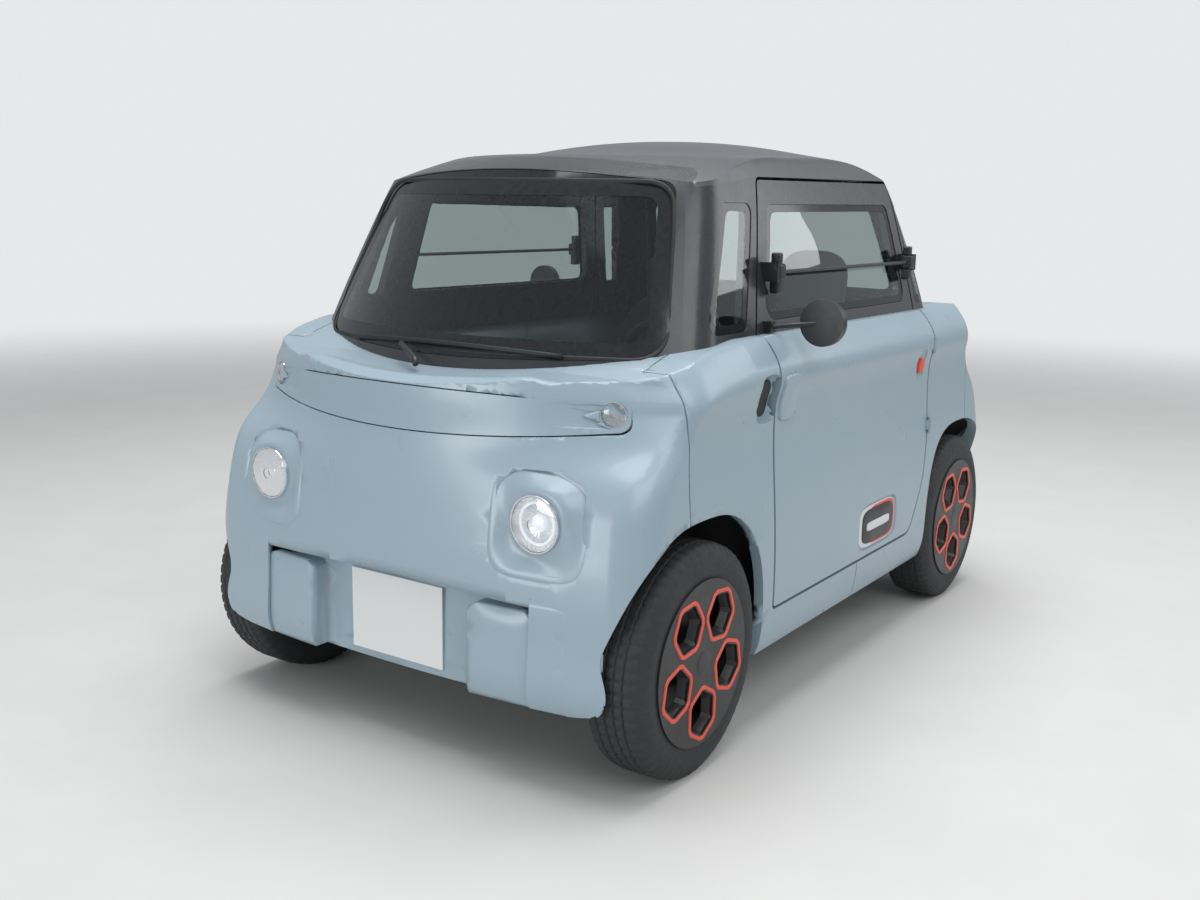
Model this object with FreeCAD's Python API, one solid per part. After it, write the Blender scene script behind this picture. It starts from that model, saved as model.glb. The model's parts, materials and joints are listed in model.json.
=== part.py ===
import FreeCAD, Part
import math
import os
from FreeCAD import Vector, Rotation, Placement

os.makedirs("parts", exist_ok=True)

# Two-seat electric microcar. X forward, Y left, Z up, origin on the ground
# midway between the axles. Front and rear bodywork are one moulding, and so are
# the two doors: the rear one and the right one are turned half way about Z.

# Main sizes
length = 2410.0
width = 1390.0
height = 1520.0
wheelbase = 1728.0
belt_top = 1000.0
skirt_bottom = 205.0
shell_wall = 26.0
door_wall = 52.0
pillar_wall = 30.0
seam = 4.0
overrun = 60.0
half_length = length / 2
half_width = width / 2

litres = 1e-6

# Seams
front_seam_x = 930.0
hood_start = 640.0
hood_strip_half = 540.0
hood_low = 880.0
mid_seam_x = -20.0
far = 2000.0
opening_depth = 380.0

# Wheels
tyre_diameter = 557.0
tyre_width = 155.0
rim_radius = 179.0
wheel_middle = 606.0
bead_inset = 14.0
shoulder_width = 6.0
shoulder_drop = 26.0
tread_edge = 24.0
tyre_wall = 12.0
rim_wall = 8.0
cover_radius = 198.0
cover_thickness = 10.0
cover_inset = -2.0
disc_y = 10.0
disc_thickness = 8.0
hex_count = 5
hex_middle = 122.0
hex_radius = 56.0
hex_round = 8.0
hub_radius = 42.0
hub_face_y = 602.0
spindle_radius = 17.0
spindle_reach = 50.0
running_gap = 0.4
axle_z = tyre_diameter / 2
axle_x = wheelbase / 2

# Front suspension: upright kingpin with a ball at each end, two wishbones and a
# spring unit
kingpin_y = 580.0
kingpin_low_z = 172.0
kingpin_high_z = 372.0
ball_radius = 12.0
ball_mouth = 9.0
ball_stem = 6.0
ball_drop = 38.0
socket_radius = 19.0
socket_half = 15.0
upright_radius = 17.0
housing_radius = 40.0
housing_length = 40.0
steer_arm_length = 120.0
steer_arm_y = 540.0
arm_radius = 11.0
arm_end_share = 1.25
low_arm_spread = 90.0
low_arm_z = 226.0
high_arm_spread = 110.0
high_arm_radius = 9.0
damper_y = 465.0
damper_radius = 16.0
damper_eye_z = 190.0
spring_top_y = 405.0
spring_top_z = 560.0
spring_radius = 40.0
spring_start_share = 0.40
spring_core = 28.0
spring_turns = 7
spring_wire = 9.0
cross_bar_radius = 9.0
tower_half = 120.0
tower_wall = 12.0
tower_reach = 455.0
beam_half = 552.0
beam_radius = 26.0
trailing_y = 470.0
trailing_length = 330.0
trailing_z = 262.0

# Arches
arch_half_width = 294.0
arch_height = 337.0
arch_power = 2.7
arch_steps = 12
liner_wall = 5.0
liner_inner_y = 372.0
liner_outer_y = 680.0
liner_clearance = 42.0
rear_liner_clearance = 8.0
liner_bottom = 230.0
liner_reach = 1120.0
liner_side_bottom = 440.0

# Body sections from the skirt up: height, front reach, crown radius and half
# width as shares of belt top, half length, half length and half width, and the
# corner radius as a share of the half width
body_section_shares = (
    (0.205, 0.988, 3.40, 0.955, 0.130),
    (0.235, 0.999, 3.40, 0.972, 0.145),
    (0.330, 0.998, 3.30, 0.985, 0.150),
    (0.450, 0.995, 3.20, 0.985, 0.150),
    (0.600, 0.985, 2.70, 0.974, 0.150),
    (0.720, 0.973, 1.75, 0.962, 0.150),
    (0.800, 0.966, 1.00, 0.960, 0.140),
    (0.860, 0.966, 0.88, 0.970, 0.130),
    (0.890, 0.965, 0.86, 0.982, 0.130),
    (0.920, 0.962, 0.86, 0.978, 0.140),
    (0.950, 0.955, 0.86, 0.960, 0.150),
    (0.975, 0.948, 0.86, 0.935, 0.170),
    (1.000, 0.940, 0.86, 0.900, 0.190),
)
hood_radius = 2765.0
hood_axis_z = -1608.0
roll_start = 890.0

# Cabin sections: height as a share of the whole height, front and rear reach as
# shares of half length, half width as a share of half width
cabin_section_shares = (
    (0.600, 0.845, 0.715, 0.895),
    (0.660, 0.808, 0.685, 0.868),
    (0.740, 0.752, 0.645, 0.830),
    (0.830, 0.686, 0.590, 0.785),
    (0.905, 0.628, 0.537, 0.738),
    (0.950, 0.585, 0.497, 0.700),
    (1.000, 0.515, 0.440, 0.630),
)
cabin_front_crown = 960.0
cabin_rear_crown = 1500.0
cabin_corner = 100.0
roof_long_radius = 2250.0
roof_cross_radius = 1900.0
roof_skin = 32.0
roof_edge_round = 55.0

# Glass
glass_thickness = 5.0
glass_inset = 2.0
glass_gap = 1.0
glass_rest = 0.3
glass_ledge = 14.0
header_width = 34.0

# Doors
door_gap = 8.0
hinge_pin_radius = 3.0
hinge_eye_radius = 6.0
hinge_gap = 0.3
hinge_notch = 8.0
hinge_eye_height = 30.0
hinge_pin_height = 50.0
hinge_heights = (640.0, 893.0)
hinge_x = -560.0
hinge_y = 682.0
hinge_arm = 12.0
hinge_leaf = 16.0

# Door outline seen from the left: height and place of each corner, its corner
# radius, the skin's distance from the middle there and the lean of the edge
door_outline = [
    (366.0, 1376.0, 20.0, 512.0, 0.24),
    (510.0, 994.0, 60.0, 612.0, 0.13),
    (510.0, 320.0, 8.0, 680.0, 0.11),
    (-424.0, 320.0, 60.0, 672.0, 0.0),
    (-522.0, 472.0, 300.0, 676.0, 0.0),
    (-556.0, 620.0, 300.0, 668.0, 0.0),
    (-556.0, 990.0, 60.0, 612.0, 0.0),
    (-504.0, 1385.0, 20.0, 510.0, 0.0),
]
door_window = [
    (340.0, 1316.0, 30.0),
    (456.0, 1030.0, 40.0),
    (-500.0, 1030.0, 40.0),
    (-462.0, 1322.0, 30.0),
]
quarter_window = [
    (572.0, 1318.0, 20.0),
    (745.0, 1012.0, 28.0),
    (558.0, 1012.0, 24.0),
    (424.0, 1318.0, 20.0),
]
rear_quarter_window = [
    (-532.0, 1318.0, 10.0),
    (-584.0, 1022.0, 16.0),
    (-668.0, 1022.0, 16.0),
    (-580.0, 1318.0, 10.0),
]
quarter_window_right = [
    (576.0, 1318.0, 10.0),
    (745.0, 1012.0, 24.0),
    (592.0, 1012.0, 16.0),
    (538.0, 1318.0, 10.0),
]
rear_quarter_window_right = [
    (-424.0, 1318.0, 16.0),
    (-552.0, 1022.0, 20.0),
    (-650.0, 1022.0, 20.0),
    (-540.0, 1318.0, 16.0),
]
windshield_outline = [
    (0.0, 1406.0, 3400.0),
    (-452.0, 1364.0, 45.0),
    (-540.0, 960.0, 40.0),
    (0.0, 944.0, 6000.0),
    (540.0, 960.0, 40.0),
    (452.0, 1364.0, 45.0),
]
rear_window_outline = [
    (0.0, 1380.0, 5000.0),
    (-430.0, 1356.0, 45.0),
    (-500.0, 1010.0, 45.0),
    (500.0, 1010.0, 45.0),
    (430.0, 1356.0, 45.0),
]
roof_seam = [
    (1100.0, 1260.0, 0.0),
    (640.0, 1352.0, 0.0),
    (366.0, 1384.0, 0.0),
    (-504.0, 1391.0, 0.0),
    (-1100.0, 1260.0, 0.0),
    (-1100.0, 900.0, 0.0),
    (1100.0, 900.0, 0.0),
]

# Raised band across the nose
band_outline = [
    (0.0, 907.0, 9000.0),
    (-562.0, 880.0, 22.0),
    (-566.0, 822.0, 22.0),
    (0.0, 770.0, 5000.0),
    (566.0, 822.0, 22.0),
    (562.0, 880.0, 22.0),
]
band_gap = 3.0
band_start = 700.0

# Lamps and plates
lamp_x = 1162.0
lamp_y = 422.0
lamp_z = 626.0
lamp_radius = 60.0
lamp_depth = 46.0
recess_half = 108.0
recess_round = 60.0
recess_depth = 20.0
blinker_x = 1016.0
blinker_y = 527.0
blinker_z = 858.0
blinker_radius = 26.0
blinker_depth = 40.0
plate_x = 1150.3
plate_thickness = 3.0
plate_width = 292.0
plate_height = 202.0
plate_bottom = 225.0
plate_pad_depth = 12.0
seat_gap = 0.3

# Recess low in the nose, with two raised pads beside the plate
low_recess_depth = 54.0
low_recess_outline = [
    (0.0, 456.0, 3000.0),
    (-436.0, 440.0, 40.0),
    (-496.0, 380.0, 60.0),
    (-508.0, 120.0, 0.0),
    (508.0, 120.0, 0.0),
    (496.0, 380.0, 60.0),
    (436.0, 440.0, 40.0),
]
pad_outline = [
    (250.0, 425.0, 24.0),
    (250.0, 185.0, 24.0),
    (425.0, 185.0, 24.0),
    (425.0, 425.0, 24.0),
]
pad_lowering = 6.0

# Mirror and window bar
mirror_foot_x = 452.0
mirror_foot = 14.0
mirror_root_y = 560.0
mirror_skin_y = 606.0
mirror_z = 1017.0
mirror_x = 400.0
mirror_y = 730.0
mirror_rise = 14.0
mirror_arm_radius = 6.0
mirror_thickness = 24.0
mirror_radius = 58.0
bar_front_x = 420.0
bar_rear_x = -510.0
bar_y = 604.0
bar_z = 1150.0
bar_radius = 5.0
bracket_half = 12.0
bracket_root_y = 540.0
bracket_tall = 24.0

# Floor, rails, battery and motor
floor_half = 520.0
floor_bottom = 200.0
floor_top = 224.0
rail_half = 1095.0
rail_y = 290.0
rail_width = 50.0
rail_height = 60.0
cross_member_places = (-1060.0, -960.0, -250.0, 250.0, 870.0, 1060.0)
cross_half = 30.0
cross_height = 36.0
battery_rear = -420.0
battery_front = -60.0
battery_half = 280.0
battery_top = 400.0
motor_half = 120.0
motor_width = 300.0
motor_top = 470.0

# Inside
trim_clearance = 2.0
dash_front = 750.0
dash_outline = [
    (760.0, 905.0, 10.0),
    (560.0, 915.0, 40.0),
    (560.0, 684.0, 40.0),
    (760.0, 672.0, 20.0),
]
cowl_front = 1010.0
cowl_top = 905.0
shelf_wall = 20.0
driver_y = 270.0
driver_x = -360.0
passenger_x = -420.0
wheel_centre_x = 300.0
wheel_centre_z = 850.0
column_tilt = 28.0
wheel_rim_radius = 170.0
wheel_rim_section = 14.0
wheel_boss_depth = 60.0
wheel_boss_radius = 44.0
spoke_radius = 10.0
column_radius = 32.0
column_length = 245.0
seat_length = 440.0
seat_half = 205.0
seat_low = 440.0
seat_outline = [
    (-70.0, 0.0, 12.0),
    (420.0, 0.0, 20.0),
    (440.0, 100.0, 40.0),
    (30.0, 70.0, 30.0),
    (-100.0, 560.0, 36.0),
    (-185.0, 550.0, 36.0),
]
head_outline = [
    (-90.0, 500.0, 20.0),
    (-145.0, 745.0, 30.0),
    (-212.0, 735.0, 30.0),
    (-165.0, 490.0, 20.0),
]
head_half = 120.0
seat_inset = 50.0
bulkhead_x = 600.0
bulkhead_wall = 10.0
shelf_z = 670.0
shelf_end = 1100.0


def mirrored(shape):
    # The same piece on the other side of the car
    return shape.mirror(Vector(0, 0, 0), Vector(0, 1, 0))


def turned(shape):
    # The same piece half a turn about the upright through the origin
    copy = shape.copy()
    copy.rotate(Vector(0, 0, 0), Vector(0, 0, 1), 180)
    return copy


def block(x0, x1, y0, y1, z0, z1):
    return Part.makeBox(x1 - x0, y1 - y0, z1 - z0, Vector(x0, y0, z0))


def rod(start, end, radius):
    along = end - start
    return Part.makeCylinder(radius, along.Length, start, along)


def pipe(start, end, radius, bore):
    return rod(start, end, radius).cut(rod(start, end, bore))


def rounded_loop(corners, place):
    # Closed wire through (u, v, radius) corners, each turned by an arc
    edges = []
    joints = []
    count = len(corners)
    for index in range(count):
        before = Vector(corners[index - 1][0], corners[index - 1][1], 0)
        here = Vector(corners[index][0], corners[index][1], 0)
        after = Vector(corners[(index + 1) % count][0], corners[(index + 1) % count][1], 0)
        radius = corners[index][2]
        back = (before - here).normalize()
        ahead = (after - here).normalize()
        if radius == 0:
            joints.append((here, None, here))
            continue
        half = back.getAngle(ahead) / 2
        reach = radius / math.tan(half)
        bisector = (back + ahead).normalize()
        middle = here + bisector * (radius / math.sin(half) - radius)
        joints.append((here + back * reach, middle, here + ahead * reach))
    for index in range(count):
        start, middle, end = joints[index]
        if middle is not None:
            edges.append(Part.Arc(place(start), place(middle), place(end)).toShape())
        following = joints[(index + 1) % count][0]
        if (following - end).Length > glass_rest:
            edges.append(Part.LineSegment(place(end), place(following)).toShape())
    return Part.Wire(edges)


def side_prism(corners, y0, y1):
    # Outline in X and Z pushed along Y
    wire = rounded_loop(corners, lambda p: Vector(p.x, y0, p.y))
    return Part.Face(wire).extrude(Vector(0, y1 - y0, 0))


def front_prism(corners, x0, x1):
    # Outline in Y and Z pushed along X
    wire = rounded_loop(corners, lambda p: Vector(x0, p.x, p.y))
    return Part.Face(wire).extrude(Vector(x1 - x0, 0, 0))


def grown(corners, amount):
    # The outline moved outward by an amount, or inward by a negative one
    count = len(corners)
    result = []
    area = 0.0
    for index in range(count):
        u0, v0 = corners[index - 1][:2]
        u1, v1 = corners[index][:2]
        area += u0 * v1 - u1 * v0
    side = 1.0 if area > 0 else -1.0
    for index in range(count):
        before = Vector(corners[index - 1][0], corners[index - 1][1], 0)
        here = Vector(corners[index][0], corners[index][1], 0)
        after = Vector(corners[(index + 1) % count][0], corners[(index + 1) % count][1], 0)
        first = (here - before).normalize()
        second = (after - here).normalize()
        normal_first = Vector(first.y, -first.x, 0) * side
        normal_second = Vector(second.y, -second.x, 0) * side
        both = normal_first + normal_second
        shift = both * (2 * amount / both.dot(both))
        cross = first.cross(second).z * side
        radius = corners[index][2]
        if radius > 0:
            radius = max(radius + (amount if cross > 0 else -amount), 1.5)
        moved = here + shift
        result.append((moved.x, moved.y, radius))
    return result


def plan_wire(z, front, front_crown, rear, rear_crown, half, front_corner, rear_corner):
    # Rounded plan outline: crowned ends, straight sides and corner arcs
    def end_points(reach, crown, corner):
        middle_x = reach - crown
        corner_y = half - corner
        corner_x = middle_x + math.sqrt((crown - corner) ** 2 - corner_y ** 2)
        lean = math.atan2(corner_y, corner_x - middle_x)
        tangent = Vector(middle_x + crown * math.cos(lean), crown * math.sin(lean), 0)
        turn = (math.pi / 2 + lean) / 2
        bend = Vector(corner_x + corner * math.cos(turn), corner_y + corner * math.sin(turn), 0)
        return tangent, bend, Vector(corner_x, half, 0)

    def at(point, sx=1.0, sy=1.0):
        return Vector(sx * point.x, sy * point.y, z)

    tangent, bend, side = end_points(front, front_crown, front_corner)
    back_tangent, back_bend, back_side = end_points(rear, rear_crown, rear_corner)
    nose = Vector(front, 0, 0)
    tail = Vector(rear, 0, 0)
    edges = [
        Part.Arc(at(tangent, 1, -1), at(nose), at(tangent)).toShape(),
        Part.Arc(at(tangent), at(bend), at(side)).toShape(),
        Part.LineSegment(at(side), at(back_side, -1)).toShape(),
        Part.Arc(at(back_side, -1), at(back_bend, -1), at(back_tangent, -1)).toShape(),
        Part.Arc(at(back_tangent, -1), at(tail, -1), at(back_tangent, -1, -1)).toShape(),
        Part.Arc(at(back_tangent, -1, -1), at(back_bend, -1, -1), at(back_side, -1, -1)).toShape(),
        Part.LineSegment(at(back_side, -1, -1), at(side, 1, -1)).toShape(),
        Part.Arc(at(side, 1, -1), at(bend, 1, -1), at(tangent, 1, -1)).toShape(),
    ]
    return Part.Wire(edges)


def body_solid(inset):
    # The lower body as a solid, its skin moved inward by the inset
    wires = []
    lowest_share = body_section_shares[0][0]
    for height_share, reach_share, crown_share, width_share, corner_share in body_section_shares:
        z = belt_top * height_share
        if inset > 0 and height_share == lowest_share:
            z = z - inset
        if z > roll_start:
            z = z - inset * (z - roll_start) / (belt_top - roll_start)
        reach = half_length * reach_share - inset
        crown = half_length * crown_share - inset
        corner = half_width * corner_share - inset / 2
        wires.append(plan_wire(z, reach, crown, reach, crown, half_width * width_share - inset,
                               corner, corner))
    return Part.makeLoft(wires, True, False).common(hood_crown(inset))


def hood_crown(inset):
    # Everything under the curved surface of the hood and the rear deck
    crown = hood_radius - inset
    reach = half_length + overrun
    edge = hood_axis_z + math.sqrt(crown ** 2 - reach ** 2)
    start = Vector(-reach, -far, edge)
    end = Vector(reach, -far, edge)
    foot = Vector(0, -far, 0)
    profile = Part.Wire([
        Part.Arc(start, Vector(0, -far, hood_axis_z + crown), end).toShape(),
        Part.LineSegment(end, foot + Vector(reach, 0, 0)).toShape(),
        Part.LineSegment(foot + Vector(reach, 0, 0), foot - Vector(reach, 0, 0)).toShape(),
        Part.LineSegment(foot - Vector(reach, 0, 0), start).toShape(),
    ])
    return Part.Face(profile).extrude(Vector(0, 2 * far, 0))


def roof_crown(inset):
    # Everything under the domed roof surface
    top = height - inset
    cross = roof_cross_radius - inset
    axis_z = top - roof_long_radius + inset
    reach = half_width + overrun
    drop = cross - math.sqrt(cross ** 2 - reach ** 2)
    low = skirt_bottom
    profile = Part.Wire([
        Part.Arc(Vector(0, -reach, top - drop), Vector(0, 0, top), Vector(0, reach, top - drop)).toShape(),
        Part.LineSegment(Vector(0, reach, top - drop), Vector(0, reach, low)).toShape(),
        Part.LineSegment(Vector(0, reach, low), Vector(0, -reach, low)).toShape(),
        Part.LineSegment(Vector(0, -reach, low), Vector(0, -reach, top - drop)).toShape(),
    ])
    sweep = math.degrees(math.asin(half_length / roof_long_radius)) * 2
    slab = Part.Face(profile).revolve(Vector(0, 0, axis_z), Vector(0, 1, 0), sweep)
    slab.rotate(Vector(0, 0, axis_z), Vector(0, 1, 0), -sweep / 2)
    return slab


def cabin_solid(inset):
    # The cabin above the belt as a solid, its skin moved inward by the inset
    wires = []
    for height_share, front_share, rear_share, width_share in cabin_section_shares:
        z = height * height_share
        if inset > 0 and height_share == cabin_section_shares[0][0]:
            z = z - inset
        corner = cabin_corner - inset
        wires.append(plan_wire(z, half_length * front_share - inset, cabin_front_crown - inset,
                               half_length * rear_share - inset, cabin_rear_crown - inset,
                               half_width * width_share - inset, corner, corner))
    return Part.makeLoft(wires, True, False).common(roof_crown(inset))


def arch_wire(x, y, inset):
    # Wheel arch outline, open at the bottom, grown by a negative inset
    half = arch_half_width - inset
    rise = arch_height - inset
    points = []
    for step in range(arch_steps + 1):
        angle = math.pi * step / arch_steps
        across = math.copysign(abs(math.cos(angle)) ** (2 / arch_power), math.cos(angle))
        up = abs(math.sin(angle)) ** (2 / arch_power)
        points.append(Vector(x + half * across, y, axle_z + rise * up))
    curve = Part.BSplineCurve()
    curve.interpolate(points)
    front_foot = Vector(points[0].x, y, -overrun)
    rear_foot = Vector(points[-1].x, y, -overrun)
    return Part.Wire([
        curve.toShape(),
        Part.LineSegment(points[-1], rear_foot).toShape(),
        Part.LineSegment(rear_foot, front_foot).toShape(),
        Part.LineSegment(front_foot, points[0]).toShape(),
    ])


def arch_prism(x, y0, y1, inset=0.0):
    return Part.Face(arch_wire(x, y0, inset)).extrude(Vector(0, y1 - y0, 0))


def door_prism(gap, y0, y1):
    # Door outline whose front edge leans forward towards the outside
    grown_outline = grown([corner[:3] for corner in door_outline], gap)
    wires = []
    for y in (y0, y1):
        corners = []
        for (x, z, radius), (_, _, _, skin_y, lean) in zip(grown_outline, door_outline):
            corners.append((x + lean * (y - skin_y), z, radius))
        wires.append(rounded_loop(corners, lambda p: Vector(p.x, y, p.y)))
    return Part.makeLoft(wires, True, True)


def save(name, *shapes):
    solids = [solid for shape in shapes for solid in shape.Solids]
    result = solids[0] if len(solids) == 1 else Part.makeCompound(solids)
    result.exportStep("parts/" + name + ".step")
    print(name, len(solids), round(result.Volume * litres, 2), "l", result.isValid())


# Skins shared by several pieces
body_outer = body_solid(0)
body_inner = body_solid(shell_wall)
cabin_outer = cabin_solid(0)
cabin_inner = cabin_solid(pillar_wall)
glass_outer = cabin_solid(glass_inset)
glass_inner = cabin_solid(glass_inset + glass_thickness)
rebate_inner = cabin_solid(glass_inset + glass_thickness + glass_rest)
cabin_seat = cabin_solid(-seat_gap)
cabin_shell = cabin_outer.cut(cabin_inner)
glass_layer = glass_outer.cut(glass_inner)
rebate_layer = cabin_outer.cut(rebate_inner)


def window(frame, outline, prism, start, end):
    # Cuts a window with its ledge into a frame and returns frame and glass
    frame = frame.cut(rebate_layer.common(prism(outline, start, end)))
    frame = frame.cut(prism(grown(outline, -glass_ledge), start, end))
    glass = glass_layer.common(prism(grown(outline, -glass_gap), start, end))
    return frame, glass


def hinge_pins(x, y):
    # Pin with the two fixed knuckles of each hinge
    pieces = []
    for z in hinge_heights:
        half = hinge_pin_height / 2
        eye = hinge_eye_height / 2 + hinge_gap
        pieces.append(rod(Vector(x, y, z - half), Vector(x, y, z + half), hinge_pin_radius))
        pieces.append(rod(Vector(x, y, z - half), Vector(x, y, z - eye), hinge_eye_radius))
        pieces.append(rod(Vector(x, y, z + eye), Vector(x, y, z + half), hinge_eye_radius))
        for low, high in ((z - half, z - eye), (z + eye, z + half)):
            pieces.append(block(x - hinge_arm, x, y - hinge_leaf, y, low, high))
    return pieces


def hinge_space(x, y, height, radius):
    return [rod(Vector(x, y, z - height / 2), Vector(x, y, z + height / 2), radius) for z in hinge_heights]


def make_body_panels():
    shell = body_outer.cut(body_inner).cut(cabin_outer)
    for x in (axle_x, -axle_x):
        shell = shell.cut(arch_prism(x, liner_inner_y, far))
        shell = shell.cut(arch_prism(x, -far, -liner_inner_y))
    opening = door_prism(door_gap, opening_depth, far)
    shell = shell.cut([opening, turned(opening)])
    half_seam = seam / 2
    noses = {}
    fenders = {}
    for end in (1, -1):
        nose_zone = nose_region(end, 0.0)
        noses[end] = shell.common(nose_zone)
        outside = shell.cut(nose_region(end, seam))
        for side in (1, -1):
            x0, x1 = sorted((mid_seam_x * side + end * half_seam, end * far))
            y0, y1 = sorted((0, side * far))
            fenders[end, side] = outside.common(block(x0, x1, y0, y1, 0, far))
    band_cut = front_prism(grown(band_outline, band_gap / 2), band_start, far)
    band_prism = front_prism(grown(band_outline, -band_gap / 2), band_start, far)
    band = noses[1].common(band_prism)
    openings = [band_cut] + [shape for side in (1, -1) for shape in lamp_openings(side)]
    blinker_back = blinker_x - blinker_depth - seat_gap
    bores = [rod(Vector(blinker_back, side * blinker_y, blinker_z), Vector(far, side * blinker_y, blinker_z),
                 blinker_radius + seat_gap) for side in (1, -1)]
    front = noses[1].cut(openings).cut(low_space).fuse([deep_wall, plate_pad])
    rear = noses[-1].cut([turned(opening) for opening in openings]).cut(turned(low_space))
    rear = rear.fuse([turned(deep_wall), turned(plate_pad)])
    front = front.cut(bores)
    rear = rear.cut([turned(bore) for bore in bores])
    band = band.cut(bores)
    clearance = hinge_space(hinge_x, hinge_y, hinge_eye_height + 2 * hinge_gap, hinge_notch)
    pins = hinge_pins(hinge_x, hinge_y)
    rear_left = fenders[-1, 1].cut(clearance).fuse(pins)
    front_right = fenders[1, -1].cut([turned(space) for space in clearance])
    front_right = front_right.fuse([turned(pin) for pin in pins])
    save("front_panel", front)
    save("rear_panel", rear)
    save("front_band", band)
    save("rear_band", turned(band))
    save("front_fender_left", fenders[1, 1])
    save("rear_fender_left", rear_left)
    save("front_fender_right", front_right)
    save("rear_fender_right", fenders[-1, -1])


def nose_region(end, margin):
    # Space of the front or rear moulding, with the strip that runs up to the glass
    x0, x1 = sorted((end * (front_seam_x - margin), end * far))
    hood0, hood1 = sorted((end * (hood_start - margin), end * far))
    hood_half = hood_strip_half + margin
    return block(x0, x1, -far, far, 0, far).fuse(
        block(hood0, hood1, -hood_half, hood_half, hood_low - margin, far))


def low_recess():
    # Wall behind the low recess, the space cut in front of it and the plate's pad
    floor = body_solid(low_recess_depth)
    back = body_solid(low_recess_depth + shell_wall)
    prism = front_prism(low_recess_outline, band_start, far)
    wide = front_prism(grown(low_recess_outline, shell_wall), band_start, far)
    arches = [arch_prism(axle_x, y0, y1) for y0, y1 in ((liner_inner_y, far), (-far, -liner_inner_y))]
    pads = [front_prism([(side * y, z, r) for y, z, r in pad_outline], band_start, far) for side in (1, -1)]
    space = prism.cut(floor).cut([pad.common(body_solid(pad_lowering)) for pad in pads])
    deep_wall = body_outer.common(wide).cut(back).cut(space).cut(arches)
    pad = block(plate_x - seat_gap - plate_pad_depth, plate_x - seat_gap, -plate_width / 2, plate_width / 2,
                plate_bottom, plate_bottom + plate_height)
    return deep_wall, space, pad


def lamp_openings(side):
    # Square pocket with rounded corners round a headlamp, and the lamp's seat
    y = side * lamp_y
    low = recess_half
    outline = [(y - low, lamp_z - low, recess_round), (y + low, lamp_z - low, recess_round),
               (y + low, lamp_z + low, recess_round), (y - low, lamp_z + low, recess_round)]
    pocket = front_prism(outline, lamp_x - lamp_depth, far).cut(body_solid(recess_depth))
    seat_hole = lamp(lamp_x, y, lamp_z, lamp_radius + seat_gap, lamp_depth + seat_gap)
    return pocket, seat_hole


def make_cabin():
    side_seam = Part.Face(rounded_loop(roof_seam, lambda p: Vector(p.x, -far, p.y)))
    below = side_seam.extrude(Vector(0, 2 * far, 0))
    header = front_prism(grown(windshield_outline, header_width), 0, far)
    rear_header = front_prism(grown(rear_window_outline, header_width), -far, 0)
    frame = cabin_shell.common(below.fuse([header, rear_header]))
    roof = cabin_shell.cut(frame)
    opening = door_prism(door_gap, opening_depth, far)
    frame = frame.cut([opening, turned(opening)])
    roof = roof.cut([opening, turned(opening)])
    frame, windshield = window(frame, windshield_outline, front_prism, 0, far)
    frame, rear_window = window(frame, rear_window_outline, front_prism, -far, 0)
    quarters = []
    for outline, y0, y1 in (
            (quarter_window, 0, far), (rear_quarter_window, 0, far),
            (quarter_window_right, -far, 0), (rear_quarter_window_right, -far, 0)):
        frame, glass = window(frame, outline, side_prism, y0, y1)
        quarters.append(glass)
    save("cabin_frame_front", frame.common(block(0, far, -far, far, 0, far)))
    save("cabin_frame_rear", frame.common(block(-far, 0, -far, far, 0, far)))
    save("roof", roof)
    save("windshield", windshield)
    save("rear_window", rear_window)
    save("quarter_windows", *quarters)


def make_doors():
    prism = door_prism(0, opening_depth, far)
    panel = body_outer.cut(body_solid(door_wall)).cut(cabin_outer).common(prism)
    eyes = []
    for z in hinge_heights:
        half = hinge_eye_height / 2
        eye = rod(Vector(hinge_x, hinge_y, z - half), Vector(hinge_x, hinge_y, z + half), hinge_eye_radius)
        arm = block(hinge_x, hinge_x + hinge_arm, hinge_y - hinge_leaf, hinge_y, z - half, z + half)
        bore = rod(Vector(hinge_x, hinge_y, z - half), Vector(hinge_x, hinge_y, z + half),
                   hinge_pin_radius + hinge_gap)
        eyes.append(eye.fuse(arm).cut(bore))
    panel = panel.cut(hinge_space(hinge_x, hinge_y, hinge_pin_height + 2 * hinge_gap, hinge_notch))
    panel = panel.fuse(eyes)
    frame = cabin_shell.common(prism)
    frame, glass = window(frame, door_window, side_prism, 0, far)
    trim = mirror() + window_bar()
    for side, turn in (("left", lambda s: s), ("right", turned)):
        save("door_" + side + "_panel", turn(panel))
        save("door_" + side + "_frame", turn(frame))
        save("door_" + side + "_glass", turn(glass))
        save("door_" + side + "_trim", *[turn(piece) for piece in trim])


def mirror():
    # Round door mirror on its short arm
    foot = block(mirror_foot_x - mirror_foot, mirror_foot_x + mirror_foot, mirror_root_y,
                 mirror_skin_y + mirror_foot, mirror_z - mirror_foot, mirror_z + mirror_foot).cut(cabin_seat)
    start = Vector(mirror_foot_x, mirror_skin_y + mirror_foot / 2, mirror_z)
    head = Vector(mirror_x, mirror_y, mirror_z + mirror_rise)
    arm = rod(start, head, mirror_arm_radius)
    disc = rod(head + Vector(mirror_thickness / 2, 0, 0), head - Vector(mirror_thickness / 2, 0, 0),
               mirror_radius)
    return [foot.fuse([arm, disc])]


def window_bar():
    # Hinge bar of the window flap between its two brackets
    start = Vector(bar_front_x, bar_y, bar_z)
    end = Vector(bar_rear_x, bar_y, bar_z)
    bar = rod(start, end, bar_radius)
    brackets = []
    for x in (bar_front_x, bar_rear_x):
        bracket = block(x - bracket_half, x + bracket_half, bracket_root_y, bar_y + bracket_half,
                        bar_z - bracket_tall, bar_z + bracket_tall)
        brackets.append(bracket.cut(cabin_seat))
    return [bar.fuse(brackets)]


def lamp(x, y, z, radius, depth):
    return rod(Vector(x, y, z), Vector(x - depth, y, z), radius)


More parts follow.
